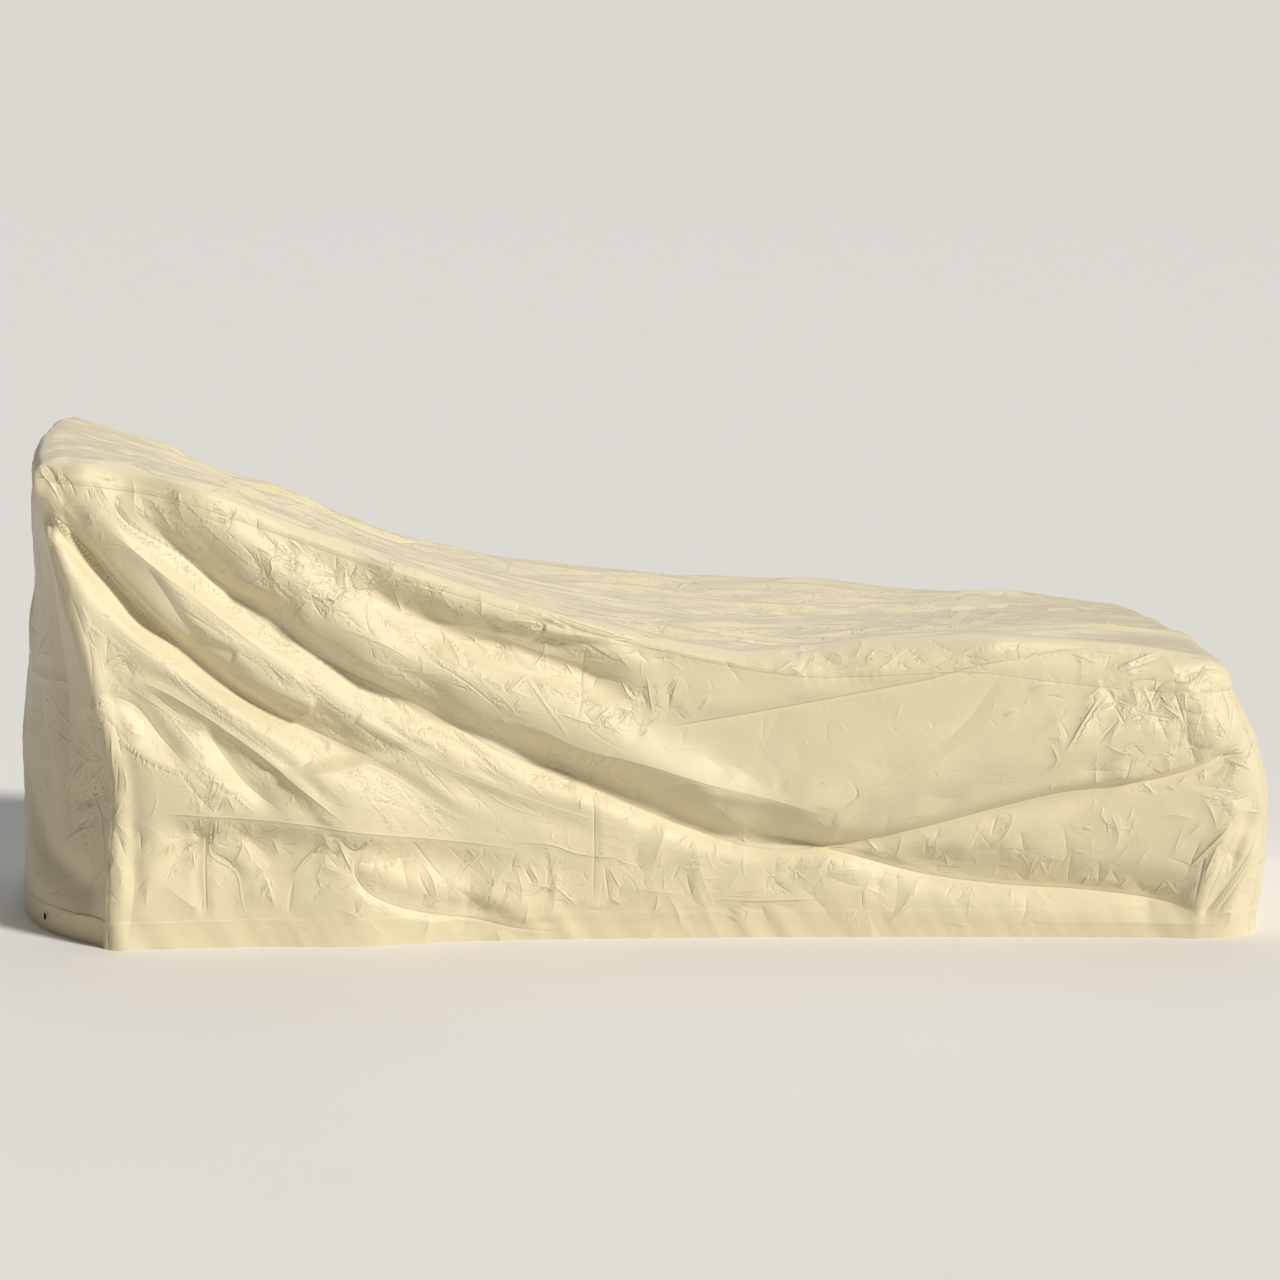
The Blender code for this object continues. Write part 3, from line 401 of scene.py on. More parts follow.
# Short strokes: pinches, pleats and the rays of stars. depth is how far pressed in, or out if
# below 0, and width the half width.
Stroke = namedtuple("Stroke", "depth width route")
STROKES = in_metres(Stroke, {"near": (
    (2.5, 7, -952, 756, -936, 742, -928, 726),
    (-2.5, 8, -956, 756, -950, 741, -936, 723, -921, 694),
    (1.5, 12, -887, 633, -849, 594, -815, 560, -771, 509),
    (1.5, 6, -669, 696, -662, 682, -667, 657), (-1.5, 6, -706, 682, -687, 691, -672, 696),
    (1.5, 7, -625, 632, -612, 590, -600, 547),
    (-2, 10, -890, 341, -895, 289, -887, 239, -868, 194, -854, 72),
    (3, 10, -893, 375, -876, 346, -859, 310, -853, 282, -848, 260), (2, 6, -729, 189, -712, 166),
    (-2, 6, -715, 218, -712, 173), (-3, 9, -693, 217, -691, 182, -699, 153),
    (2, 7, -701, 153, -668, 133, -658, 110), (-1.5, 6, -661, 181, -642, 155, -633, 129),
    (-1.5, 6, -617, 122, -611, 89, -595, 59), (-1.5, 7, -525, 162, -553, 130, -579, 108),
    (1.2, 6, -569, 117, -573, 81, -577, 45), (1.5, 8, -489, 609, -480, 571, -464, 531),
    (1.2, 6, -216, 543, -220, 517), (-1.8, 7, -173, 484, -179, 456, -198, 433),
    (-1.5, 8, -198, 432, -222, 414, -241, 400), (1.2, 7, -202, 432, -180, 395),
    (1.5, 8, -113, 491, -116, 408, -122, 369, -133, 347), (-2, 7, -53, 418, -43, 395, -24, 382),
    (1.5, 8, -24, 382, -47, 361, -70, 344), (1.5, 8, -70, 344, -96, 353, -119, 372),
    (-2, 8, -336, 496, -324, 480, -305, 438), (1.5, 7, -304, 474, -292, 435),
    (-1.5, 6, -247, 366, -227, 341), (-1.5, 6, -208, 353, -195, 331),
    (-1.5, 6, -109, 262, -100, 286, -92, 310), (-1.5, 6, -96, 271, -70, 310),
    (1.5, 6, -164, 291, -135, 275, -109, 262), (1.5, 6, -155, 256, -132, 257, -109, 262),
    (1.5, 7, -94, 255, -95, 212, -93, 166),
    (-1.8, 9, -239, 161, -164, 155, -125, 141, -79, 134, -43, 137, -21, 155),
    (3, 9, -504, 181, -474, 151, -445, 177), (-3, 9, -504, 181, -490, 145, -470, 105),
    (1.8, 8, -371, 116, -367, 99, -354, 72), (1.5, 6, -209, 124, -189, 87),
    (-1.5, 6, -199, 125, -179, 90), (-1.8, 8, -163, 96, -140, 73, -117, 52),
    (1.5, 7, -79, 129, -68, 55), (-1.5, 7, -72, 119, -49, 78), (2, 6, -50, 415, -27, 383),
    (-2, 7, -15, 429, -3, 357), (1.8, 6, -24, 402, -7, 367), (-1.8, 7, -57, 356, -27, 377),
    (0.6, 6, 175, 366, 171, 317), (0.5, 6, 276, 350, 274, 318), (-1.5, 7, 68, 366, 87, 396),
    (-0.7, 7, 394, 385, 384, 350), (1.8, 10, 310, 262, 321, 235, 285, 202),
    (-2, 8, 337, 165, 367, 138), (1.2, 6, -43, 139, -11, 162), (1.2, 6, 55, 145, 64, 158),
    (-1.5, 6, 144, 164, 157, 140), (1.2, 6, 45, 125, 29, 91), (-2, 10, 89, 64, 178, 60, 293, 63),
    (2, 10, 501, 431, 572, 448, 664, 464, 738, 459, 811, 457), (-1.8, 8, 663, 461, 718, 440),
    (-3, 10, 733, 430, 776, 448, 824, 462), (-3, 12, 720, 398, 679, 346, 646, 295),
    (2, 8, 731, 387, 753, 346), (2, 8, 831, 405, 850, 346),
    (2.5, 9, 779, 354, 797, 388, 817, 412, 862, 416, 891, 438, 925, 432),
    (3, 10, 885, 286, 926, 296, 958, 299), (-2, 8, 923, 289, 969, 270),
    (-3, 10, 859, 112, 898, 154, 935, 194), (2.5, 9, 873, 51, 887, 132, 905, 143),
    (-2, 7, 696, 82, 708, 103), (-2, 7, 756, 75, 771, 100), (-2, 7, 812, 64, 830, 94),
    (2, 6, -727, 202, -706, 162), (-2, 6, -693, 217, -701, 162),
    (-2.2, 6, -617, 123, -605, 86, -596, 58), (1.4, 5, -572, 110, -578, 48),
    (-2.2, 8, -578, 107, -545, 146, -503, 179), (2.8, 8, -494, 173, -472, 139),
    (-2.2, 6, -439, 175, -466, 154), (-1.4, 6, -667, 180, -647, 158, -635, 130),
    (-1.4, 6, -786, 140, -753, 175), (-1.2, 5, -795, 109, -799, 67),
    (1.2, 5, -372, 112, -357, 93, -369, 77), (1.4, 5, -208, 128, -192, 93),
    (1.2, 5, -193, 131, -183, 93), (-1.4, 5, -67, 297, -77, 261),
    (-2.2, 6, -850, 351, -848, 297, -847, 260), (2, 6, -839, 297, -842, 243),
    (-1.4, 6, -833, 291, -827, 264, -830, 243), (-2, 5, -635, 637, -610, 624, -597, 616),
    (-2, 5, -607, 622, -602, 596, -612, 580), (-1.8, 5, -594, 616, -592, 646),
    (-1.6, 5, -701, 684, -681, 691, -666, 678), (-1.6, 5, -681, 663, -661, 678, -651, 692),
    (1.4, 5, -595, 553, -587, 508, -564, 476), (-1.4, 5, -481, 614, -489, 573, -471, 547),
    (-1.4, 5, -460, 599, -445, 572, -419, 583), (1.4, 6, -450, 556, -455, 522, -445, 486),
    (2.2, 6, -953, 757, -939, 742, -934, 724), (-2.2, 6, -948, 760, -926, 735, -911, 712),
    (1.8, 6, -934, 752, -910, 730, -895, 702), (1.8, 6, -885, 723, -877, 700),
    (-1.6, 6, -865, 725, -852, 700), (1.8, 6, -842, 710, -834, 695),
    (1.8, 6, -887, 506, -879, 480, -869, 470), (-1.8, 6, -862, 449, -836, 462, -821, 457),
    (1.6, 6, -862, 433, -836, 449, -810, 444), (-1.6, 5, -897, 542, -882, 511),
    (-2.2, 6, 665, 316, 692, 358, 732, 392), (1.8, 6, 699, 308, 735, 351, 773, 372),
    (-1.8, 6, 803, 386, 824, 373, 853, 351), (1.8, 6, 759, 372, 816, 362, 845, 359),
    (-2, 6, 719, 434, 764, 444, 824, 462), (1.8, 6, 733, 423, 778, 437, 829, 455),
    (-1.6, 5, 629, 323, 641, 293, 628, 270), (-1.6, 5, 555, 360, 584, 370),
    (1.6, 6, 766, 307, 752, 244), (-1.6, 5, 780, 259, 810, 230),
    (2, 6, 910, 418, 927, 368, 918, 333), (-2, 6, 892, 372, 927, 317), (1.8, 6, 883, 166, 857, 98),
    (-2, 7, 918, 181, 884, 100, 859, 52), (2, 7, 945, 171, 907, 99, 880, 31),
    (-1.6, 6, 468, 139, 482, 110), (1.6, 6, 554, 199, 542, 164), (-1.6, 6, 622, 129, 641, 99),
    (1.6, 6, 740, 110, 759, 85), (-1.6, 6, 829, 96, 853, 66),
), "top": (
    (2, 12, -708, -308, -660, -319, -603, -271, -547, -170, -495, -2),
    (-2, 12, -875, -245, -770, -332, -708, -308), (-1.8, 8, -235, 81, -184, 300),
)})

# Patches of crinkles, strewn round a place on a face. In millimetres: across and up are its
# middle, wide and tall how far it spreads, length and slim the length and half width of a crinkle,
# rise its height and line that of its sharp line. Then how many there are, the angle at which they
# run and its spread, in degrees, and how strongly the cloth there is crumpled besides. A row's
# number seeds its draws, so a new row goes at the end.
Patch = namedtuple(
    "Patch", "face across up wide tall length slim rise line count angle spread crumple")


def patch_in_metres(row):
    """A patch from its row, whose lengths end where its count stands."""
    count = Patch._fields.index("count")
    return Patch(row[0], *(size / MILLIMETRES for size in row[1:count]), *row[count:])


PATCHES = [patch_in_metres(row) for row in (
    ("near", -500, 420, 450, 220, 200, 20, 3.6, 0.3, 46, -38, 14, 0.1),
    ("near", 450, 300, 550, 160, 160, 18, 2.2, 0.2, 36, 14, 30, 0),
    ("near", 0, 100, 950, 100, 120, 14, 2.4, 0.5, 70, 5, 60, 0.2),
    ("near", -480, 580, 240, 50, 80, 11, 1.6, 1.3, 60, -25, 40, 0.1),
    ("near", -480, 580, 260, 60, 45, 4, 0, 1.5, 80, -20, 50, 0.1),
    ("near", -800, 690, 180, 50, 70, 11, 1.4, 1.2, 30, -40, 50, 0),
    ("near", -800, 660, 180, 80, 45, 4, 0, 1.3, 60, -40, 40, 0),
    ("near", -120, 490, 240, 30, 100, 11, 1.6, 1.3, 50, -16, 30, 0.1),
    ("near", -120, 490, 240, 50, 45, 4, 0, 1.4, 70, -20, 50, 0.1),
    ("near", -20, 380, 80, 50, 45, 7, 1, 1.2, 28, 60, 50, 0.6),
    ("near", -110, 270, 80, 50, 45, 7, 1, 1.2, 22, 50, 60, 0.5),
    ("near", -700, 190, 120, 70, 50, 8, 1.2, 1.3, 40, 70, 40, 0.6),
    ("near", -480, 160, 90, 60, 45, 7, 1, 1.3, 26, 60, 60, 0.5),
    ("near", 300, 450, 300, 20, 70, 7, 0.8, 1.2, 50, 4, 30, 0.5),
    ("near", 800, 370, 180, 100, 90, 10, 1.5, 1, 70, 45, 50, 0.2),
    ("near", 930, 220, 90, 180, 90, 10, 1.5, 1, 60, 55, 40, 0.2),
    ("near", 600, 140, 320, 50, 70, 9, 1.1, 0.9, 50, 65, 40, 0.2),
    ("near", 0, 80, 950, 50, 60, 9, 1, 1, 90, 50, 60, 0.2),
    ("near", -500, 340, 450, 200, 170, 4, 0, 0.9, 100, -38, 9, 0.1),
    ("near", -500, 300, 450, 200, 40, 4, 0, 0.9, 130, -30, 60, 0.2),
    ("near", 100, 120, 900, 100, 35, 4, 0, 0.9, 200, 40, 60, 0.2),
    ("near", 450, 280, 500, 140, 140, 6, 0, 0.2, 30, 12, 12, 0),
    ("near", -870, 280, 50, 260, 80, 7, 1.2, 1.4, 60, 80, 30, 0.5),
    ("near", 820, 320, 180, 140, 35, 4, 0, 1, 110, 45, 60, 0.1),
    ("near", -640, 460, 340, 220, 220, 4, 0, 1.3, 80, -41, 6, 0),
    ("near", -300, 360, 300, 160, 180, 4, 0, 1.1, 50, -27, 8, 0),
    ("near", -550, 400, 420, 280, 28, 4, 0, 1, 160, -38, 70, 0),
    ("near", 50, 300, 900, 300, 22, 4, 0, 0.6, 160, 0, 90, 0),
    ("top", 100, -140, 800, 160, 600, 18, 5.5, 1.2, 50, 2, 5, 0.2),
    ("top", -650, 0, 300, 260, 220, 15, 3.6, 0.5, 46, -8, 14, 0.3),
    ("top", 150, 0, 800, 320, 160, 10, 2.6, 1.2, 160, 3, 10, 0.3),
    ("top", -650, 0, 300, 320, 120, 9, 2.2, 1.2, 110, -8, 20, 0.3),
    ("top", 0, -200, 950, 180, 50, 7, 1.6, 1.3, 260, 3, 30, 0.2),
    ("top", -750, -150, 240, 220, 50, 4, 0, 1.5, 90, -15, 50, 0.1),
    ("top", 200, -100, 750, 280, 200, 4, 0, 1.8, 130, 0, 5, 0.1),
    ("far", -400, 400, 600, 220, 200, 20, 4.4, 0.4, 50, 37, 14, 0.2),
    ("far", 450, 250, 500, 200, 180, 18, 3.6, 0.3, 44, -12, 25, 0.1),
    ("far", -300, 360, 600, 200, 170, 4, 0, 1.3, 130, 36, 10, 0.1),
    ("far", -200, 480, 700, 80, 70, 9, 1.6, 1.4, 140, 20, 50, 0.2),
    ("far", 700, 300, 250, 140, 80, 10, 1.8, 1.2, 80, 45, 60, 0.2),
    ("far", 0, 120, 950, 100, 70, 10, 1.8, 1.1, 120, 40, 60, 0.2),
    ("far", 0, 280, 950, 250, 35, 4, 0, 0.9, 260, 0, 90, 0.1),
    ("head", 0, 400, 360, 320, 180, 18, 3, 0.2, 36, 75, 25, 0.3),
    ("head", 0, 400, 360, 320, 170, 4, 0, 0.8, 40, 85, 10, 0.1),
    ("head", 0, 400, 360, 320, 70, 8, 1.2, 1.2, 120, 80, 60, 0.3),
    ("foot", 0, 200, 360, 180, 140, 16, 2.8, 0.2, 24, 70, 30, 0.4),
    ("foot", 0, 200, 360, 200, 60, 8, 1.3, 1.2, 100, 60, 60, 0.5),
    ("top", 150, 220, 850, 140, 400, 16, 3.2, 1.1, 60, 3, 8, 0.2),
    ("top", 600, 160, 380, 200, 90, 10, 2.2, 1.3, 110, 8, 40, 0.2),
    ("top", 650, 50, 340, 300, 80, 4, 0, 1.5, 120, 4, 30, 0.1),
    ("top", -600, 240, 360, 140, 180, 11, 2.6, 1.2, 70, -6, 14, 0.2),
    ("top", 0, 240, 900, 120, 50, 4, 0, 1.4, 200, 5, 50, 0.1),
    ("head", 0, 300, 340, 280, 40, 4, 0, 1.1, 140, 80, 70, 0.1),
    ("head", 0, 550, 340, 140, 110, 12, 2.4, 1, 50, 60, 30, 0.1),
)]


# ------------ sizes and finishes a user changes
class SeamSizes(bpy.types.PropertyGroup):
    """How the panels are sewn and hemmed."""
    groove: FloatProperty(
        name="Seam Groove", description="How deep the cloth dips where two panels meet",
        default=0.0003, min=0.0, max=0.004, unit="LENGTH")
    groove_width: FloatProperty(
        name="Groove Width", description="Half width of the dip at a seam",
        default=0.0018, min=0.0005, max=0.01, unit="LENGTH")
    felled_width: FloatProperty(
        name="Felled Width", description="Width of the seam allowance that is stitched down",
        default=0.0095, min=0.004, max=0.02, unit="LENGTH")
    felled_rise: FloatProperty(
        name="Felled Rise", description="How far the stitched-down allowance stands proud",
        default=0.0007, min=0.0, max=0.003, unit="LENGTH")
    hem_rise: FloatProperty(
        name="Hem Rise", description="How far the doubled cloth of the hem stands proud",
        default=0.0010, min=0.0, max=0.003, unit="LENGTH")
    pucker_height: FloatProperty(
        name="Pucker Height", description="Height of the small puckers along a seam",
        default=0.0004, min=0.0, max=0.004, unit="LENGTH")
    pucker_pitch: FloatProperty(
        name="Pucker Pitch", description="Usual distance between two puckers",
        default=0.019, min=0.005, max=0.06, unit="LENGTH")
    pucker_reach: FloatProperty(
        name="Pucker Reach", description="How far a pucker runs out from its seam",
        default=0.016, min=0.004, max=0.06, unit="LENGTH")
    pucker_slant: FloatProperty(
        name="Hem Pucker Slant", description="How far the hem's puckers lean as they rise",
        default=0.6, min=-2.0, max=2.0)


class CreaseSizes(bpy.types.PropertyGroup):
    """How strongly the cloth is creased."""
    crease_scale: FloatProperty(
        name="Crease Height", description="Height of the main creases, 1 as in the photograph",
        default=1.0, min=0.0, max=2.0)
    crinkle_scale: FloatProperty(
        name="Crinkle Height", description="Height of the small crinkles",
        default=1.0, min=0.0, max=2.0)
    crinkle_seed: IntProperty(
        name="Crinkle Seed", description="Strews the small crinkles another way",
        default=7, min=0, max=1000)
    softness: FloatProperty(
        name="Crease Softness", description="How round the bottom of a crease is",
        default=0.0032, min=0.0002, max=0.01, unit="LENGTH")


class StitchSizes(bpy.types.PropertyGroup):
    """The thread of the seams and the hem."""
    pitch: FloatProperty(
        name="Pitch", description="Distance from one stitch to the next",
        default=0.0033, min=0.0015, max=0.01, unit="LENGTH")
    length: FloatProperty(
        name="Stitch Length", description="Length of thread that shows in one stitch",
        default=0.0026, min=0.001, max=0.009, unit="LENGTH")
    thread: FloatProperty(
        name="Thread", description="Thickness of the thread",
        default=0.0006, min=0.0002, max=0.002, unit="LENGTH")
    seam_inset: FloatProperty(
        name="Seam Inset", description="Distance from a panel's edge to its stitches",
        default=0.0050, min=0.001, max=0.02, unit="LENGTH")
    hem_inset: FloatProperty(
        name="Hem Inset", description="Distance from the top of the hem down to its stitches",
        default=0.0030, min=0.001, max=0.02, unit="LENGTH")


class EyeletSizes(bpy.types.PropertyGroup):
    """The pressed ring in the head end's hem strip."""
    across: FloatProperty(
        name="Place Across", description="Where the eyelet stands along the hem strip",
        default=-0.25, min=-0.3, max=0.3, unit="LENGTH")
    height: FloatProperty(
        name="Height", description="Height of the eyelet's middle above the hem's edge",
        default=0.022, min=0.014, max=0.03, unit="LENGTH")
    flange_radius: FloatProperty(
        name="Flange Radius", description="Outer radius of the ring on the outside of the cloth",
        default=0.0105, min=0.006, max=0.013, unit="LENGTH")
    hole_radius: FloatProperty(
        name="Hole Radius", description="Radius of the open hole",
        default=0.0055, min=0.002, max=0.008, unit="LENGTH")
    back_radius: FloatProperty(
        name="Back Radius", description="Outer radius of the ring on the inside of the cloth",
        default=0.0097, min=0.006, max=0.013, unit="LENGTH")
    metal: FloatProperty(
        name="Metal", description="Thickness of the pressed metal",
        default=0.0006, min=0.0003, max=0.0012, unit="LENGTH")
    lip_bend: FloatProperty(
        name="Lip Bend", description="Radius at which the barrel rolls over into the flange",
        default=0.0013, min=0.0005, max=0.003, unit="LENGTH")
    clearance: FloatProperty(
        name="Clearance", description="Gap between the metal and the cloth",
        default=0.0003, min=0.0001, max=0.001, unit="LENGTH")


class ClothLook(bpy.types.PropertyGroup):
    """Colour and surface of the coated polyester."""
    colour: FloatVectorProperty(
        name="Cloth", description="Colour of the cloth", subtype="COLOR", size=3,
        default=(0.78, 0.69, 0.47), min=0.0, max=1.0)
    worn_colour: FloatVectorProperty(
        name="Worn Cloth", description="Colour where the cloth is dusty and rubbed",
        subtype="COLOR", size=3, default=(0.70, 0.63, 0.45), min=0.0, max=1.0)
    hem_colour: FloatVectorProperty(
        name="Hem", description="Colour of the hem strip", subtype="COLOR", size=3,
        default=(0.76, 0.67, 0.45), min=0.0, max=1.0)
    thread_colour: FloatVectorProperty(
        name="Thread", description="Colour of the sewing thread", subtype="COLOR", size=3,
        default=(0.74, 0.66, 0.46), min=0.0, max=1.0)
    metal_colour: FloatVectorProperty(
        name="Eyelet", description="Colour of the plated metal", subtype="COLOR", size=3,
        default=(0.74, 0.66, 0.48), min=0.0, max=1.0)
    roughness: FloatProperty(
        name="Roughness", description="How dull the coated cloth is",
        default=0.43, min=0.1, max=1.0, subtype="FACTOR")
    sheen: FloatProperty(
        name="Sheen", description="Strength of the pale edge light on the weave",
        default=0.30, min=0.0, max=1.0, subtype="FACTOR")
    weave_pitch: FloatProperty(
        name="Weave Pitch", description="Distance from one thread of the weave to the next",
        default=0.00045, min=0.0002, max=0.003, unit="LENGTH")
    weave_height: FloatProperty(
        name="Weave Height", description="Height of the threads of the weave",
        default=0.00003, min=0.0, max=0.0005, unit="LENGTH")
    crumple: FloatProperty(
        name="Crumple", description="Strength of the fine crumple, 1 as in the photograph",
        default=1.0, min=0.0, max=3.0, subtype="FACTOR")


class StageLook(bpy.types.PropertyGroup):
    """Floor, lights and camera."""
    floor_colour: FloatVectorProperty(
        name="Floor", description="Colour of the floor", subtype="COLOR", size=3,
        default=(0.84, 0.83, 0.82), min=0.0, max=1.0)
    backdrop_colour: FloatVectorProperty(
        name="Backdrop", description="Tone behind the floor, as light as the floor looks",
        subtype="COLOR", size=3, default=(0.714, 0.690, 0.650), min=0.0, max=1.0)
    key_strength: FloatProperty(
        name="Key Light", description="Strength of the soft light from the right in front",
        default=3.25, min=0.0, max=20.0)
    key_softness: FloatProperty(
        name="Key Softness", description="How wide the soft light looks from the cover",
        default=math.radians(8), subtype="ANGLE")
    key_turn: FloatVectorProperty(
        name="Key Direction", description="Turn of the light, which shines down when unturned",
        subtype="EULER", size=3, default=(math.radians(55), 0.0, math.radians(50)))
    top_strength: FloatProperty(
        name="Top Light", description="Strength of the broad light from above and behind",
        default=0.85, min=0.0, max=20.0)
    top_turn: FloatVectorProperty(
        name="Top Light Direction", description="Turn of the broad light from above",
        subtype="EULER", size=3, default=(math.radians(-38), 0.0, 0.0))
    fill: FloatProperty(
        name="Fill", description="Strength of the light from all round",
        default=0.10, min=0.0, max=2.0)
    camera_place: FloatVectorProperty(
        name="Camera", description="Where the camera stands", subtype="TRANSLATION", size=3,
        default=(-0.5217, -5.5176, 1.2436))
    camera_yaw: FloatProperty(
        name="Yaw", description="Turn of the camera to the right",
        default=math.radians(5.486), subtype="ANGLE")
    camera_pitch: FloatProperty(
        name="Pitch", description="How far the camera looks down",
        default=math.radians(8.342), subtype="ANGLE")
    camera_roll: FloatProperty(
        name="Roll", description="Tilt of the camera about its line of sight",
        default=math.radians(0.748), subtype="ANGLE")
    focal_length: FloatProperty(
        name="Focal Length", description="Focal length on a 36 mm wide frame",
        default=93.6, min=10.0, max=300.0, unit="CAMERA")


SETTINGS = {"cover_seams": SeamSizes, "cover_creases": CreaseSizes, "cover_stitches": StitchSizes,
            "cover_eyelet": EyeletSizes, "cover_cloth": ClothLook, "cover_stage": StageLook}


def settings(name):
    return getattr(bpy.context.scene, name)


# ------------ curves and tables
def hermite(x, knots, values):
    """Smooth curve through a table's points, level beyond its ends."""
    knots = np.asarray(knots, float)
    values = np.asarray(values, float)
    slopes = np.gradient(values, knots)
    x = np.clip(x, knots[0], knots[-1])
    cell = np.clip(np.searchsorted(knots, x, side="right") - 1, 0, len(knots) - 2)
    run = knots[cell + 1] - knots[cell]
    s = (x - knots[cell]) / run
    low = values[cell] * (1 + 2 * s) * (1 - s) ** 2 + slopes[cell] * run * s * (1 - s) ** 2
    high = values[cell + 1] * s * s * (3 - 2 * s) - slopes[cell + 1] * run * s * s * (1 - s)
    return low + high


def smoothstep(low, high, value):
    s = np.clip((value - low) / (high - low), 0.0, 1.0)
    return s * s * (3 - 2 * s)


def faded(begun, left_over, start, end):
    """1 along a run, falling to 0 over a start and an end of it."""
    return smoothstep(0, start, begun) * smoothstep(0, end, left_over)


def softened(distance, softness):
    """A distance that starts off gently, so that the bottom of a crease is round."""
    return np.sqrt(distance ** 2 + softness ** 2) - softness


def arc_length(curve):
    """How far along a curve each of its points lies."""
    return np.concatenate([[0.0], np.cumsum(np.linalg.norm(np.diff(curve, axis=0), axis=1))])


def corner_at(table, level):
    """One row of a corner table, read at any level."""
    levels = [row.level for row in table]
    return Corner(level, *(float(hermite(level, levels, [getattr(row, name) for row in table]))
                           for name in Corner._fields[1:]))


def section_at(name, x):
    return hermite(x, [row.x for row in SECTIONS], [getattr(row, name) for row in SECTIONS])


def top_height(x, y):
    """Height of the top before it rolls over its edges."""
    v = np.clip(y / -HEAD_CORNERS[-1].near_y, -1.0, 1.0)
    return (section_at("near", x) * v * (v - 1) / 2 + section_at("middle", x) * (1 - v * v)
            + section_at("far", x) * v * (v + 1) / 2)


def top_roll(x, y):
    """How far the top rolls down over its edge."""
    v = np.clip(y / -HEAD_CORNERS[-1].near_y, -1.0, 1.0)
    return section_at("near_roll", x) * (1 - v) / 2 + section_at("far_roll", x) * (1 + v) / 2


def route_points(route):
    """Points along a smooth route through the given ones."""
    knots = np.arange(len(route), dtype=float)
    steps = np.linspace(0, len(route) - 1, ROUTE_STEPS * (len(route) - 1) + 1)
    return np.stack([hermite(steps, knots, route[:, axis]) for axis in (0, 1)], axis=1)


def route_distance(places, route):
    """Signed distance of each place from a route, positive on its left, and how far along
    the route it lies from either end."""
    line = route_points(route)
    starts, runs = line[:-1], np.diff(line, axis=0)
    lengths = np.linalg.norm(runs, axis=1)
    along = np.einsum("psk,sk->ps", places[:, None] - starts, runs) / lengths ** 2
    clipped = np.clip(along, 0.0, 1.0)
    away = places[:, None] - (starts + clipped[..., None] * runs)
    distance = np.linalg.norm(away, axis=2)
    nearest = np.argmin(distance, axis=1)
    pick = np.arange(len(places)), nearest
    left = runs[nearest, 0] * away[pick][:, 1] - runs[nearest, 1] * away[pick][:, 0]
    travelled = np.concatenate([[0.0], np.cumsum(lengths)])
    place = travelled[nearest] + clipped[pick] * lengths[nearest]
    return np.sign(left) * distance[pick], place, travelled[-1] - place


def within_reach(places, route, reach):
    """Which places lie close enough to a route to feel it."""
    low, high = route.min(axis=0) - reach, route.max(axis=0) + reach
    return ((places > low) & (places < high)).all(axis=1)


def fold_height(fold, places):
    """How far one fold moves the cloth outwards at each place of its face."""
    distance, begun, left_over = route_distance(places, fold.route)
    profile = -fold.trough * np.exp(-(distance / fold.width) ** 2)
    profile += fold.crest * np.exp(-((distance - fold.reach) / (CREST_SPREAD * fold.reach)) ** 2)
    return profile * faded(begun, left_over, fold.start, fold.end)


def crease_height(crease, distance, softness):
    """Swell of the cloth on either side of a crease, which is sharp at its line."""
    left = distance > 0
    width = np.where(left, crease.left_width, crease.right_width)
    ratio = softened(distance, softness) / width
    return np.where(left, crease.left, crease.right) * ratio * np.exp((1 - ratio ** 2) / 2)


def uneven_wave(place, pitch, seed):
    """Waves of an uneven pitch and height, between about -1 and 1."""
    rng = np.random.default_rng(seed)
    knots = np.arange(-WAVE_REACH, WAVE_REACH, WAVE_KNOTS * pitch)
    shift = np.interp(place, knots, rng.uniform(-WAVE_SHIFT, WAVE_SHIFT, len(knots)))
    swell = np.interp(place, knots, rng.uniform(WAVE_LEAST, 1.0, len(knots)) ** WAVE_POWER)
    return swell * np.sin(2 * math.pi * (place / pitch + shift))


# ------------ the draped surface
def soft_corner(before, corner, after, tangent):
    """Points of a rounded corner, whose middle one is the seam between two walls."""
    entry = corner + tangent * (before - corner) / np.linalg.norm(before - corner)
    leave = corner + tangent * (after - corner) / np.linalg.norm(after - corner)
    s = np.linspace(0, 1, 2 * OUTLINE_STEPS + 1)[:, None]
    return entry * (1 - s) ** 2 + corner * 2 * s * (1 - s) + leave * s ** 2


def bowed_run(start, end, outward, bow, fullness):
    """Points of a side between two corners, bowed outwards."""
    s = np.linspace(0, 1, SIDE_STEPS + 1)[1:-1, None]
    swell = bow * (1 - np.abs(2 * s - 1) ** fullness)
    return start + (end - start) * s + np.asarray(outward) * swell


def crowded(cells):
    """Fractions of a run where its cells end, closer together at both ends."""
    place = np.arange(cells) + 0.5
    close = np.exp(-(place / CROWD_CELLS) ** 2) + np.exp(-((cells - place) / CROWD_CELLS) ** 2)
    return np.concatenate([[0.0], np.cumsum(1 - CROWD * close)]) / (1 - CROWD * close).sum()


def arc_fraction(curve):
    run = arc_length(curve)
    return run / run[-1]


def between_ends(pair, level):
    """A size that goes evenly from its value at the hem to the one at the seam."""
    return pair[0] * (1 - level) + pair[1] * level


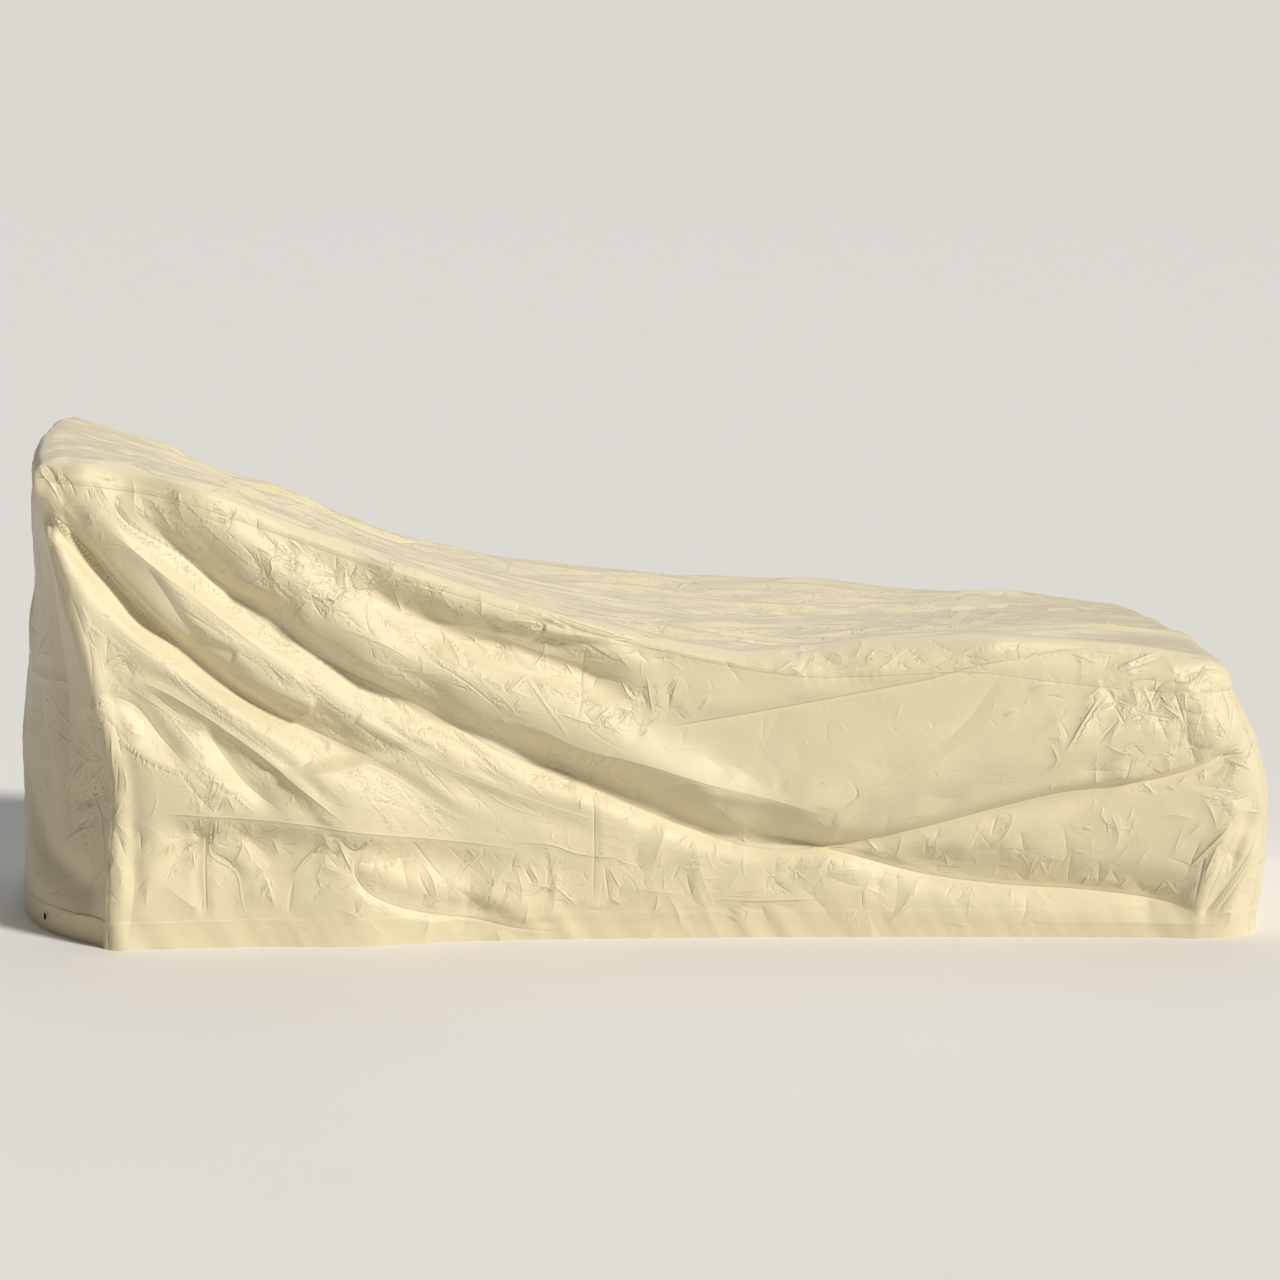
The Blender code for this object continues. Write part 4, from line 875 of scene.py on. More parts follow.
def ring(level):
    """Plan outline at one level, from the near head corner round by the foot."""
    head = corner_at(HEAD_CORNERS, level)
    foot = corner_at(FOOT_CORNERS, level)
    head_round = between_ends(HEAD_CORNER_ROUND, level)
    foot_round = between_ends(FOOT_CORNER_ROUND, level)
    waist = between_ends(SIDE_WAIST, level)
    points = [np.array(p) for p in ((head.near_x, head.near_y), (foot.near_x, foot.near_y),
                                    (foot.far_x, foot.far_y), (head.far_x, head.far_y))]
    rounds = (head_round, foot_round, foot_round, head_round)
    sides = (((0, -1), waist, WAIST_FULLNESS, COLUMNS_LONG),
             ((1, 0), foot.bow, foot.fullness, COLUMNS_END),
             ((0, 1), waist, WAIST_FULLNESS, COLUMNS_LONG),
             ((-1, 0), head.bow, head.fullness, COLUMNS_END))
    corners = [soft_corner(points[i - 1], points[i], points[(i + 1) % 4], rounds[i])
               for i in range(4)]
    outline = []
    for i, (outward, bow, fullness, cells) in enumerate(sides):
        here = corners[i][OUTLINE_STEPS:]
        there = corners[(i + 1) % 4][:OUTLINE_STEPS + 1]
        middle = bowed_run(here[-1], there[0], outward, bow, fullness)
        side = np.concatenate([here, middle, there])
        outline += [np.stack([np.interp(crowded(cells), arc_fraction(side), side[:, axis])
                              for axis in (0, 1)], axis=1)[:-1]]
    return np.concatenate(outline)


def wall_levels():
    """Levels of the rows of cells: the hem's rows, then the rows up to the seam."""
    hem = HEM_HEIGHT / (SECTIONS[0].near - SECTIONS[0].near_roll)
    return np.concatenate([hem * crowded(HEM_ROWS)[:-1],
                           hem + (1 - hem) * crowded(ROWS - HEM_ROWS)])


def wall_rows():
    """Points of the four walls, a row for each level."""
    levels = wall_levels()
    plans = [ring(level) for level in levels]
    edge_x, edge_y = plans[-1].T
    seam = top_height(edge_x, edge_y) - top_roll(edge_x, edge_y)
    return [np.column_stack([plan, seam * level]) for plan, level in zip(plans, levels)]


def edge_inset(plan, outline):
    """Distance of the top's points from its outline, read in strips across, and no further
    than the roll at the edge reaches."""
    starts, runs = outline, np.roll(outline, -1, axis=0) - outline
    inset = np.full(plan.shape[:2], EDGE_INSET)
    for strip in np.array_split(np.arange(len(plan)), TOP_STRIPS):
        flat = plan[strip].reshape(-1, 2)
        low, high = flat[:, 0].min() - EDGE_INSET, flat[:, 0].max() + EDGE_INSET
        close = (starts[:, 0] > low) & (starts[:, 0] < high)
        along = (np.einsum("psk,sk->ps", flat[:, None] - starts[close], runs[close])
                 / (runs[close] ** 2).sum(axis=1))
        nearest = starts[close] + np.clip(along, 0, 1)[..., None] * runs[close]
        away = np.linalg.norm(flat[:, None] - nearest, axis=2).min(axis=1)
        inset[strip] = np.minimum(away, EDGE_INSET).reshape(len(strip), -1)
    return inset


def top_inside(outline):
    """Inner points of the top, spread between its four edges and rolled down near them."""
    near = outline[:COLUMNS_LONG + 1]
    foot = outline[COLUMNS_LONG:COLUMNS_LONG + COLUMNS_END + 1]
    far = outline[COLUMNS_LONG + COLUMNS_END:2 * COLUMNS_LONG + COLUMNS_END + 1][::-1]
    head = np.roll(outline, -(2 * COLUMNS_LONG + COLUMNS_END), axis=0)[:COLUMNS_END + 1][::-1]
    u = arc_fraction(near)[1:-1, None, None]
    v = arc_fraction(foot)[None, 1:-1, None]
    plan = (near[1:-1, None] * (1 - v) + far[1:-1, None] * v
            + head[None, 1:-1] * (1 - u) + foot[None, 1:-1] * u
            - near[0] * (1 - u) * (1 - v) - near[-1] * u * (1 - v)
            - far[0] * (1 - u) * v - far[-1] * u * v)
    short = 1 - edge_inset(plan, outline) / EDGE_INSET
    x, y = plan[..., 0], plan[..., 1]
    height = top_height(x, y) - top_roll(x, y) * (1 - np.sqrt(1 - short ** 2))
    return np.dstack([plan, height])


def cloth_grids():
    """All points of the cover and, for each face, a grid of their numbers."""
    rows = wall_rows()
    around = len(rows[0])
    inside = top_inside(rows[-1][:, :2])
    points = np.concatenate([*rows, inside.reshape(-1, 3)])
    numbers = np.arange(len(rows) * around).reshape(len(rows), around)
    closed = np.column_stack([numbers, numbers[:, 0]])
    turns = np.cumsum([0, COLUMNS_LONG, COLUMNS_END, COLUMNS_LONG, COLUMNS_END])
    near, foot, far, head = (closed[:, a:b + 1] for a, b in zip(turns, turns[1:]))
    top = np.empty((COLUMNS_END + 1, COLUMNS_LONG + 1), int)
    top[1:-1, 1:-1] = (numbers.size + np.arange(inside.shape[0] * inside.shape[1])
                       .reshape(inside.shape[:2])).T
    top[0], top[-1] = near[-1], far[-1][::-1]
    top[:, 0], top[:, -1] = head[-1][::-1], foot[-1]
    return points, {"near": near, "far": far, "top": top, "head": head, "foot": foot}


def point_normals(points, grids):
    """Outward direction at each point, from the cells around it."""
    normals = np.zeros_like(points)
    for grid in grids.values():
        a, b, c, d = grid[:-1, :-1], grid[:-1, 1:], grid[1:, 1:], grid[1:, :-1]
        face = np.cross(points[c] - points[a], points[d] - points[b])
        face /= np.linalg.norm(face, axis=-1, keepdims=True)
        for corner in (a, b, c, d):
            np.add.at(normals, corner, face)
    return normals / np.linalg.norm(normals, axis=1)[:, None]


def evened(normals, grids):
    """Average the directions over neighbouring points, so that relief never folds over a seam."""
    for _ in range(NORMAL_ROUNDS):
        total = normals.copy()
        for grid in grids.values():
            for here, there in ((grid[:-1], grid[1:]), (grid[:, :-1], grid[:, 1:])):
                np.add.at(total, here, normals[there])
                np.add.at(total, there, normals[here])
        normals = total / np.linalg.norm(total, axis=1)[:, None]
    return normals


def from_head_corner(points, grids):
    """Distance of each wall point from the nearer head corner, negative on the head end."""
    away = np.full(len(points), np.inf)
    for face in ("near", "far", "head"):
        run = runs_along(points[grids[face]])[0]
        back = run[:, -1:] - run
        away[grids[face]] = {"near": run, "far": back, "head": -np.minimum(run, back)}[face]
    return away


def looseness(face, away):
    """How freely a face's cloth folds, which a head corner's stiff seam holds beside it."""
    if face in ("near", "far"):
        return smoothstep(0.0, FOLD_HOLD, away)
    if face == "head":
        return smoothstep(0.0, FOLD_HOLD, np.where(np.isinf(away), away, -away))
    return 1.0


def runs_along(sheet):
    """How far each point of a grid lies along its row and up its column."""
    runs = []
    for axis in (1, 0):
        steps = np.linalg.norm(np.diff(sheet, axis=axis), axis=2)
        start = np.zeros_like(np.take(steps, [0], axis=axis))
        runs.append(np.concatenate([start, np.cumsum(steps, axis=axis)], axis=axis))
    return runs


Reading = namedtuple("Reading", "seen places free")


def face_reading(face, points, normals, loose=1.0):
    """The points that a face's folds can move, where they lie on it, and how freely."""
    axes, outward = FACES[face]
    free = smoothstep(FACING_LOW, FACING_HIGH, normals @ np.array(outward)) * loose
    seen = np.flatnonzero(free > 0)
    return Reading(seen, points[seen][:, axes], free[seen])


def fold_cloth(points, grids):
    """Push the cloth out into its rolls and in along its troughs."""
    normals = point_normals(points, grids)
    away = from_head_corner(points, grids)
    push = np.zeros(len(points))
    for face in FACES:
        reading = face_reading(face, points, normals, looseness(face, away))
        for fold in FOLDS[face]:
            reach = FOLD_FELT * max(fold.width, fold.reach * (fold.crest > 0))
            near = within_reach(reading.places, fold.route, reach)
            push[reading.seen[near]] += reading.free[near] * fold_height(
                fold, reading.places[near])
    folded = points + normals * push[:, None]
    hang_hem(folded)
    return folded


def hang_hem(points):
    """Hang the hem's rows plumb below the row at its top."""
    around = 2 * (COLUMNS_LONG + COLUMNS_END)
    rows = points[:(ROWS + 1) * around].reshape(ROWS + 1, around, 3)
    rows[:HEM_ROWS, :, :2] = rows[HEM_ROWS, :, :2]
    rows[:HEM_ROWS, :, 2] = rows[HEM_ROWS, :, 2] * crowded(HEM_ROWS)[:-1, None]


# ------------ creases, crinkles and seams
class Relief:
    """What creases, crinkles and seams add to the folded cloth, point by point: the height, the
    distance and height of the sharp line there, how crumpled the cloth is, and how far off the
    nearest main crease lies."""

    def __init__(self, count):
        self.height = np.zeros(count)
        self.line_away = np.full(count, LINE_FAR)
        self.line_height = np.zeros(count)
        self.crumple = np.zeros(count)
        self.crease_away = np.full(count, LINE_FAR)

    def add(self, where, height, distance, line):
        """Add a crease's height. Its sharp line is kept where it is nearer than the one known
        there, and stronger unless that one is too far off to show."""
        self.height[where] += height
        away, known = np.abs(distance), np.abs(self.line_away[where])
        stronger = (known > LINE_GONE) | (np.abs(line) > np.abs(self.line_height[where]))
        closer = (away < known) & (line != 0) & stronger
        fade = 1 - smoothstep(LINE_FULL, LINE_GONE, away[closer])
        self.line_away[where[closer]] = distance[closer]
        self.line_height[where[closer]] = line[closer] * fade


def add_creases(relief, face, reading, scale, softness):
    """Add a face's main creases, and note how far off they lie."""
    for crease in CREASES[face]:
        reach = CREASE_FELT * max(crease.left_width, crease.right_width, LINE_FAR / 3)
        near = within_reach(reading.places, crease.route, reach)
        distance, begun, left_over = route_distance(reading.places[near], crease.route)
        share = scale * faded(begun, left_over, crease.start, crease.end)
        strength = reading.free[near] * share
        relief.add(reading.seen[near], strength * crease_height(crease, distance, softness),
                   distance, strength * crease.line)
        live = np.where(share > 0, np.abs(distance), LINE_FAR)
        relief.crease_away[reading.seen[near]] = np.minimum(
            relief.crease_away[reading.seen[near]], live)


def add_strokes(relief, face, reading, scale, softness):
    """Add a face's short strokes, each fading towards its ends."""
    for stroke in STROKES.get(face, ()):
        near = within_reach(reading.places, stroke.route, max(THIN_FELT * stroke.width, LINE_FAR))
        distance, begun, left_over = route_distance(reading.places[near], stroke.route)
        if not len(distance):
            continue
        fade = STROKE_RUN_OUT * (begun + left_over).max()
        rise = -stroke.depth * scale * faded(begun, left_over, fade, fade)
        height = STROKE_BODY * rise * np.exp(-softened(distance, softness) / stroke.width)
        relief.add(reading.seen[near], height * reading.free[near], distance, STROKE_LINE * rise)


def add_crinkles(relief, face, reading, scale, seed, softness):
    """Strew short crinkles over a face's patches, each a small ridge or trough."""
    for number, patch in enumerate(PATCHES):
        if patch.face != face:
            continue
        rng = np.random.default_rng((seed, number))
        place, size = np.array((patch.across, patch.up)), np.array((patch.wide, patch.tall))
        gap = (reading.places - place) / size
        relief.crumple[reading.seen] += patch.crumple * np.exp(-(gap ** 2).sum(axis=1))
        for _ in range(patch.count):
            middle = place + np.clip(rng.normal(0, CRINKLE_PLACE, 2), -1.0, 1.0) * size
            angle = math.radians(patch.angle + patch.spread * rng.normal())
            half = patch.length * rng.uniform(*CRINKLE_LENGTH) / 2
            slim = patch.slim * rng.uniform(*CRINKLE_SLIM)
            bend = half * rng.uniform(*CRINKLE_BEND)
            strength = scale * rng.uniform(*CRINKLE_STRENGTH) * rng.choice((-1, 1))
            gap = reading.places - middle
            close = np.flatnonzero((np.abs(gap) < half + THIN_FELT * slim).all(axis=1))
            way = np.array((math.cos(angle), math.sin(angle)))
            along = gap[close] @ way / half
            across = gap[close] @ (-way[1], way[0]) - bend * (1 - along ** 2)
            live = (np.abs(along) < 1) & (np.abs(across) < max(THIN_FELT * slim, LINE_FAR))
            close, along, across = close[live], along[live], across[live]
            clear = smoothstep(LINE_CLEAR, LINE_FAR, relief.crease_away[reading.seen[close]])
            window = strength * (1 - along ** 2) ** 2 * reading.free[close] * clear
            height = patch.rise * window * np.exp(-softened(across, softness) / slim)
            relief.add(reading.seen[close], height, across, patch.line * window)


def seam_relief(face, points, grid, sizes):
    """Dip at the seams, the stitched-down allowance, the hem band and the puckers beside them."""
    across, up = runs_along(points[grid])
    over, upward = FACES[face][0]
    # For each sewn edge: the distance from it, the run along it and where that ends, the places
    # of the edge's points and the axis they are read on.
    rows_end, row_places = across[:, -1:], points[grid][..., over]
    columns_end, column_places = up[-1:], points[grid][..., upward]
    edges = [(up[-1] - up, across, rows_end, row_places[-1], over),
             (across, up, columns_end, column_places[:, :1], upward),
             (rows_end - across, up, columns_end, column_places[:, -1:], upward)]
    if face == "top":
        edges.append((up, across, rows_end, row_places[0], over))
    closest = np.min([edge[0] for edge in edges], axis=0)
    height = -sizes.groove * np.exp(-(closest / sizes.groove_width) ** 2)
    for distance, run, full, place, axis in edges:
        quiet = faded(run, full - run, CORNER_QUIET, CORNER_QUIET)
        wave = uneven_wave(place, sizes.pucker_pitch, PUCKER_SEED + axis)
        height += sizes.pucker_height * wave * quiet * np.exp(-distance / sizes.pucker_reach)
    if face not in ("near", "far"):
        felled = smoothstep(*FELLED_START, closest) * (1 - smoothstep(
            sizes.felled_width - FELLED_EDGE, sizes.felled_width + FELLED_EDGE, closest))
        height += sizes.felled_rise * felled
    if face != "top":
        height += hem_relief(face, points, grid, across, sizes)
    return height


def hem_relief(face, points, grid, across, sizes):
    """The doubled band of the hem, with its slanting puckers."""
    z = points[grid][..., 2]
    band = sizes.hem_rise * (1 - smoothstep(HEM_HEIGHT - HEM_STEP, HEM_HEIGHT, z))
    place = points[grid[0]][:, FACES[face][0][0]] + sizes.pucker_slant * (z - HEM_HEIGHT)
    quiet = faded(across, across[:, -1:] - across, CORNER_QUIET, CORNER_QUIET)
    wide = HEM_PUCKER_HEIGHT * sum(uneven_wave(place, share * HEM_PUCKER_PITCH, seed)
                                   for share, seed in HEM_PUCKER_WAVES)
    small = (uneven_wave(place, SMALL_PUCKER_PITCH * sizes.pucker_pitch, SMALL_PUCKER_SEED)
             * SMALL_PUCKER_HEIGHT * sizes.pucker_height)
    above = np.exp(-np.maximum(z - HEM_HEIGHT, 0) / (SMALL_PUCKER_REACH * sizes.pucker_reach))
    return band + (wide + small) * quiet * above


Cover = namedtuple("Cover", "points normals relief grids")


@lru_cache(maxsize=1)
def draped_cover():
    """The folded cloth with all that lies on it. It is worked out once for all the panels."""
    flat, grids = cloth_grids()
    points = fold_cloth(flat, grids)
    normals = evened(point_normals(points, grids), grids)
    creases, seams = settings("cover_creases"), settings("cover_seams")
    relief = Relief(len(points))
    for face in grids:
        reading = face_reading(face, points, normals)
        add_creases(relief, face, reading, creases.crease_scale, creases.softness)
        add_strokes(relief, face, reading, creases.crease_scale, creases.softness)
        add_crinkles(relief, face, reading, creases.crinkle_scale, creases.crinkle_seed,
                     creases.softness)
    sewn = np.zeros(len(points))
    for face, grid in grids.items():
        sewn[grid] = seam_relief(face, points, grid, seams)
    relief.height += sewn
    on_floor = points[:, 2] <= 0.0
    normals[on_floor, 2] = 0.0
    return Cover(points, normals, relief, grids)


def outer_points(cover):
    """The cover's points on the outside of the cloth."""
    return cover.points + cover.normals * cover.relief.height[:, None]


# ------------ panels
# The face that a panel is cut from, the first and last row it keeps, and its node, slot, flat size
# and area.
Panel = namedtuple("Panel", "name node face first last slot flat area")
PANELS = (
    Panel("near_side_cloth", "near_side_panel", "near", 0, ROWS, "cover_cloth", (2.06, 0.76), 1.10),
    Panel("far_side_cloth", "far_side_panel", "far", 0, ROWS, "cover_cloth", (2.06, 0.76), 1.10),
    Panel("top_cloth", "top_panel", "top", 0, COLUMNS_END, "cover_cloth", (2.20, 0.78), 1.60),
    Panel("foot_end_cloth", "foot_end_panel", "foot", 0, ROWS, "cover_cloth", (0.80, 0.45), None),
    Panel("head_end_cloth", "head_end_panel", "head", HEM_ROWS, ROWS, "cover_cloth",
          (0.90, 0.74), None),
    Panel("head_hem_cloth", "head_hem_strip", "head", 0, HEM_ROWS, "hem_cloth",
          (0.88, 0.046), None),
)


def drawn_in(outer, keep_first):
    """Draw a panel's seams in, so that its neighbours have room. A hem stays put."""
    seams = [(np.s_[-1], np.s_[-2]), (np.s_[:, 0], np.s_[:, 1]), (np.s_[:, -1], np.s_[:, -2])]
    if not keep_first:
        seams.append((np.s_[0], np.s_[1]))
    drawn = outer.copy()
    for edge, inner in seams:
        inward = outer[inner] - outer[edge]
        drawn[edge] += inward * (SEAM_GAP / 2 / np.linalg.norm(inward, axis=-1))[..., None]
    return drawn


def lowest_near(height, step):
    """Lowest relief within one coarse cell of each point."""
    low = height
    for axis in (0, 1):
        padded = np.pad(low, [(step, step) if a == axis else (0, 0) for a in (0, 1)], mode="edge")
        windows = np.lib.stride_tricks.sliding_window_view(padded, 2 * step + 1, axis=axis)
        low = windows.min(axis=-1)
    return low


def coarse(count, step):
    return np.unique(np.append(np.arange(0, count, step), count - 1))


def panel_mesh(name, cover, grid):
    """One cut panel: a fine outer face, a coarser inner face and a rim round the edge."""
    sheet, normals = cover.points[grid], cover.normals[grid]
    height = cover.relief.height[grid]
    on_floor = sheet[0, :, 2].max() <= 0.0
    outer = drawn_in(sheet + normals * height[..., None], on_floor)
    rows, columns = grid.shape
    up, along = coarse(rows, BACK_STEP_UP), coarse(columns, BACK_STEP_LONG)
    low = lowest_near(height, BACK_STEP_LONG)
    depth = height - low + CLOTH_THICKNESS + BACK_CLEARANCE
    inner = (outer - normals * depth[..., None])[np.ix_(up, along)]
    front = np.arange(rows * columns).reshape(rows, columns)
    back = front.size + np.arange(inner.shape[0] * inner.shape[1]).reshape(inner.shape[:2])
    faces = quads(front).tolist() + quads(back)[:, ::-1].tolist()
    faces += rim_faces(front, back, up, along)
    mesh = bpy.data.meshes.new(name)
    mesh.from_pydata(np.concatenate([outer.reshape(-1, 3), inner.reshape(-1, 3)]), [], faces)
    places = np.dstack(runs_along(sheet))
    write_uv(mesh, np.concatenate([places.reshape(-1, 2),
                                   places[np.ix_(up, along)].reshape(-1, 2)]))
    for kept in ("line_away", "line_height", "crumple"):
        write_attribute(mesh, kept, getattr(cover.relief, kept)[grid], up, along)
    mesh.shade_smooth()
    mesh.set_sharp_from_angle(angle=math.radians(RIM_SHARP_DEGREES))
    return mesh


def quads(grid):
    return np.stack([grid[:-1, :-1], grid[:-1, 1:], grid[1:, 1:], grid[1:, :-1]],
                    axis=-1).reshape(-1, 4)


def rim_faces(front, back, up, along):
    """Faces that join the two layers, each from one coarse point of an edge to the next."""
    sides = [(front[0], back[0], along), (front[:, -1], back[:, -1], up),
             (front[-1][::-1], back[-1][::-1], (front.shape[1] - 1 - along)[::-1]),
             (front[::-1, 0], back[::-1, 0], (front.shape[0] - 1 - up)[::-1])]
    faces = []
    for fine, rough, stops in sides:
        for k, (here, there) in enumerate(zip(stops, stops[1:])):
            faces.append([*fine[here:there + 1][::-1].tolist(), int(rough[k]), int(rough[k + 1])])
    return faces


def write_uv(mesh, places):
    layer = mesh.uv_layers.new(name="cloth")
    corners = np.empty(len(mesh.loops), np.int32)
    mesh.loops.foreach_get("vertex_index", corners)
    layer.uv.foreach_set("vector", places[corners].astype(np.float32).ravel())


def write_attribute(mesh, name, values, up, along):
    full = np.concatenate([values.ravel(), values[np.ix_(up, along)].ravel()])
    mesh.attributes.new(name, "FLOAT", "POINT").data.foreach_set("value", full.astype(np.float32))


def add_object(name, data):
    """A new object in the scene."""
    thing = bpy.data.objects.new(name, data)
    bpy.context.scene.collection.objects.link(thing)
    return thing


def add_piece(name, mesh, material):
    mesh.materials.append(material)
    return add_object(name, mesh)


def finished_mesh(thing):
    """An object's mesh with its modifiers carried out."""
    depsgraph = bpy.context.evaluated_depsgraph_get()
    return bpy.data.meshes.new_from_object(thing.evaluated_get(depsgraph), depsgraph=depsgraph)


def mesh_of(bm, name):
    """A bmesh written to a mesh of its own."""
    mesh = bpy.data.meshes.new(name)
    bm.to_mesh(mesh)
    bm.free()
    return mesh


def cut_panel(panel):
    """Make one panel, finish it and let it stand for its solid."""
    cover = draped_cover()
    grid = cover.grids[panel.face][panel.first:panel.last + 1]
    mesh = panel_mesh(panel.name, cover, grid)
    finish = hem_polyester if panel.slot == "hem_cloth" else polyester
    thing = add_piece(panel.name, mesh, finish(panel.name))
    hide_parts(panel.node)
    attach(thing, "root")
    return thing


# ------------ materials
class Value:
    """A number's socket. Python's operators add its Math nodes."""

    def __init__(self, shades, socket):
        self.shades = shades
        self.socket = socket

    def math(self, operation, *others, clamp=False):
        return self.shades.node("ShaderNodeMath", dict(operation=operation, use_clamp=clamp),
                                *((i, value) for i, value in enumerate(others)))

    def __add__(self, other):
        return self.math("ADD", self, other)

    def __sub__(self, other):
        return self.math("SUBTRACT", self, other)

    def __rsub__(self, other):
        return self.math("SUBTRACT", other, self)

    def __mul__(self, other):
        return self.math("MULTIPLY", self, other)

    def __truediv__(self, other):
        return self.math("DIVIDE", self, other)

    def __pow__(self, other):
        return self.math("POWER", self, other)

    def __abs__(self):
        return self.math("ABSOLUTE", self)

    def clamped(self):
        return self.math("ADD", self, 0.0, clamp=True)

    def sine(self):
        return self.math("SINE", self)

    def exp(self):
        return self.math("EXPONENT", self)

    __radd__ = __add__
    __rmul__ = __mul__


class Shades:
    """One material's node tree."""

    def __init__(self, name):
        self.material = bpy.data.materials.new(name)
        self.material.use_nodes = True
        self.tree = self.material.node_tree
        self.shader = self.tree.nodes["Principled BSDF"]

    def node(self, kind, options, *inputs, output=0):
        """Add a node: its options first, then the values or links of its sockets."""
        made = self.tree.nodes.new(kind)
        for name, value in options.items():
            setattr(made, name, value)
        for key, value in inputs:
            if isinstance(value, Value):
                self.tree.links.new(value.socket, made.inputs[key])
            else:
                made.inputs[key].default_value = value
        return Value(self, made.outputs[output])

    def attribute(self, name):
        return self.node("ShaderNodeAttribute", dict(attribute_name=name), output="Fac")

    def place(self):
        return self.node("ShaderNodeTexCoord", {}, output="Object")

    def cloth_place(self, stretch=(1.0, 1.0, 1.0)):
        uv = self.node("ShaderNodeUVMap", dict(uv_map="cloth"))
        return self.node("ShaderNodeVectorMath", dict(operation="MULTIPLY"), (0, uv), (1, stretch))

    def part_of(self, place, axis):
        return self.node("ShaderNodeSeparateXYZ", {}, (0, place), output=axis)

    def noise(self, place, scale, detail=2.0, roughness=0.5, distortion=0.0):
        return self.node("ShaderNodeTexNoise", {}, ("Vector", place), ("Scale", scale),
                         ("Detail", detail), ("Roughness", roughness), ("Distortion", distortion),
                         output=0)

    def between(self, low, high, value):
        """0 below low, 1 above high and smooth in between."""
        return self.node("ShaderNodeMapRange", dict(interpolation_type="SMOOTHSTEP"),
                         ("Value", value), ("From Min", low), ("From Max", high))

    def mix(self, factor, first, second):
        """A blend of two colours, which the Mix node takes and gives by number."""
        return self.node("ShaderNodeMix", dict(data_type="RGBA"), (0, factor), (6, first),
                         (7, second), output=2)

    def finish(self, constants, **inputs):
        for name, value in constants.items():
            self.shader.inputs[name].default_value = value
        for name, value in inputs.items():
            self.tree.links.new(value.socket, self.shader.inputs[name.replace("_", " ")])
        return self.material

    def bumped(self, height):
        return self.node("ShaderNodeBump", {}, ("Strength", 1.0), ("Distance", 1.0),
                         ("Height", height))


def weave(shades, look):
    """Plain weave: threads that rise by turns, worked out from the cloth's own lengths."""
    turn = math.pi / look.weave_pitch
    place = shades.cloth_place((turn, turn, 0.0))
    over = shades.part_of(place, 0).sine() * shades.part_of(place, 1).sine()
    return over * look.weave_height


def sharp_lines(shades):
    """The sharp line of each crease, from how far off it lies."""
    away = abs(shades.attribute("line_away")) / RIDGE_SLIM
    return shades.attribute("line_height") * (away * -1.0).exp()


def crumple(shades, look):
    """Crumple with sharp valleys and ridges, drawn out along the folds, as coated cloth keeps
    from its packet."""
    place = shades.node("ShaderNodeMapping", dict(vector_type="TEXTURE"),
                        ("Vector", shades.place()), ("Rotation", (0.0, CRUMPLE_LEAN, 0.0)),
                        ("Scale", (CRUMPLE_DRAWN, 1.0, 1.0)))
    broad = abs(shades.noise(place, *BROAD_CRUMPLE) - NOISE_MIDDLE) * BROAD_HEIGHT
    fine = abs(shades.noise(place, *FINE_CRUMPLE) - NOISE_MIDDLE) * FINE_HEIGHT
    either_way = (shades.noise(shades.place(), *EITHER_WAY) - NOISE_MIDDLE) * CRUMPLE_SWING
    amount = shades.attribute("crumple").clamped() * (1 - CRUMPLE_LEAST) + CRUMPLE_LEAST
    return (broad + fine) * either_way * amount * look.crumple


def cloth_finish(name, colour):
    """Coated polyester of one colour."""
    look = settings("cover_cloth")
    shades = Shades(name)
    cloudy = shades.noise(shades.place(), *CLOUDY)
    speckled = shades.noise(shades.place(), *SPECKLED)
    worn = shades.between(*BLOTCHES, cloudy) * WORN_SHARE + speckled * SPECKLED_SHARE
    base = shades.mix(worn.clamped(), (*colour, 1.0), (*look.worn_colour, 1.0))
    rough = ((cloudy - NOISE_MIDDLE) * CLOUDY_DULLNESS
             + (speckled - NOISE_MIDDLE) * SPECKLED_DULLNESS + look.roughness)
    height = weave(shades, look) + sharp_lines(shades) + crumple(shades, look)
    return shades.finish({"Sheen Weight": look.sheen, "Sheen Roughness": 0.45,
                          "Specular IOR Level": 0.4},
                         Base_Color=base, Roughness=rough, Normal=shades.bumped(height))


def polyester(piece):
    return cloth_finish(f"{piece}_polyester", settings("cover_cloth").colour)


def hem_polyester(piece):
    return cloth_finish(f"{piece}_hem_polyester", settings("cover_cloth").hem_colour)


def sewing_thread(name):
    look = settings("cover_cloth")
    shades = Shades(name)
    fuzzy = shades.noise(shades.place(), *FUZZY)
    base = shades.mix(fuzzy, (*look.thread_colour, 1.0), (*look.colour, 1.0))
    return shades.finish({"Sheen Weight": 0.2, "Roughness": 0.6}, Base_Color=base,
                         Normal=shades.bumped(fuzzy * FUZZ_HEIGHT))


def plated_metal(name):
    look = settings("cover_cloth")
    shades = Shades(name)
    tarnish = shades.noise(shades.place(), *TARNISHED)
    dark = tuple(TARNISH_DARKNESS * part for part in look.metal_colour)
    base = shades.mix(shades.between(*BLOTCHES, tarnish) * TARNISH_SHARE,
                      (*look.metal_colour, 1.0), (*dark, 1.0))
    rough = tarnish * METAL_DULLNESS + METAL_ROUGHNESS
    return shades.finish({"Metallic": 1.0}, Base_Color=base, Roughness=rough,
                         Normal=shades.bumped(tarnish * TARNISH_HEIGHT))


# ------------ stitches
def inset_line(points, normals, grid, inset):
    """Points and normals on the cloth at a distance from the first row of a grid."""
    rise = runs_along(points[grid])[1]
    return tuple(np.array([[np.interp(inset, up, values[numbers, axis]) for axis in range(3)]
                           for up, numbers in zip(rise.T, grid.T)]) for values in (points, normals))


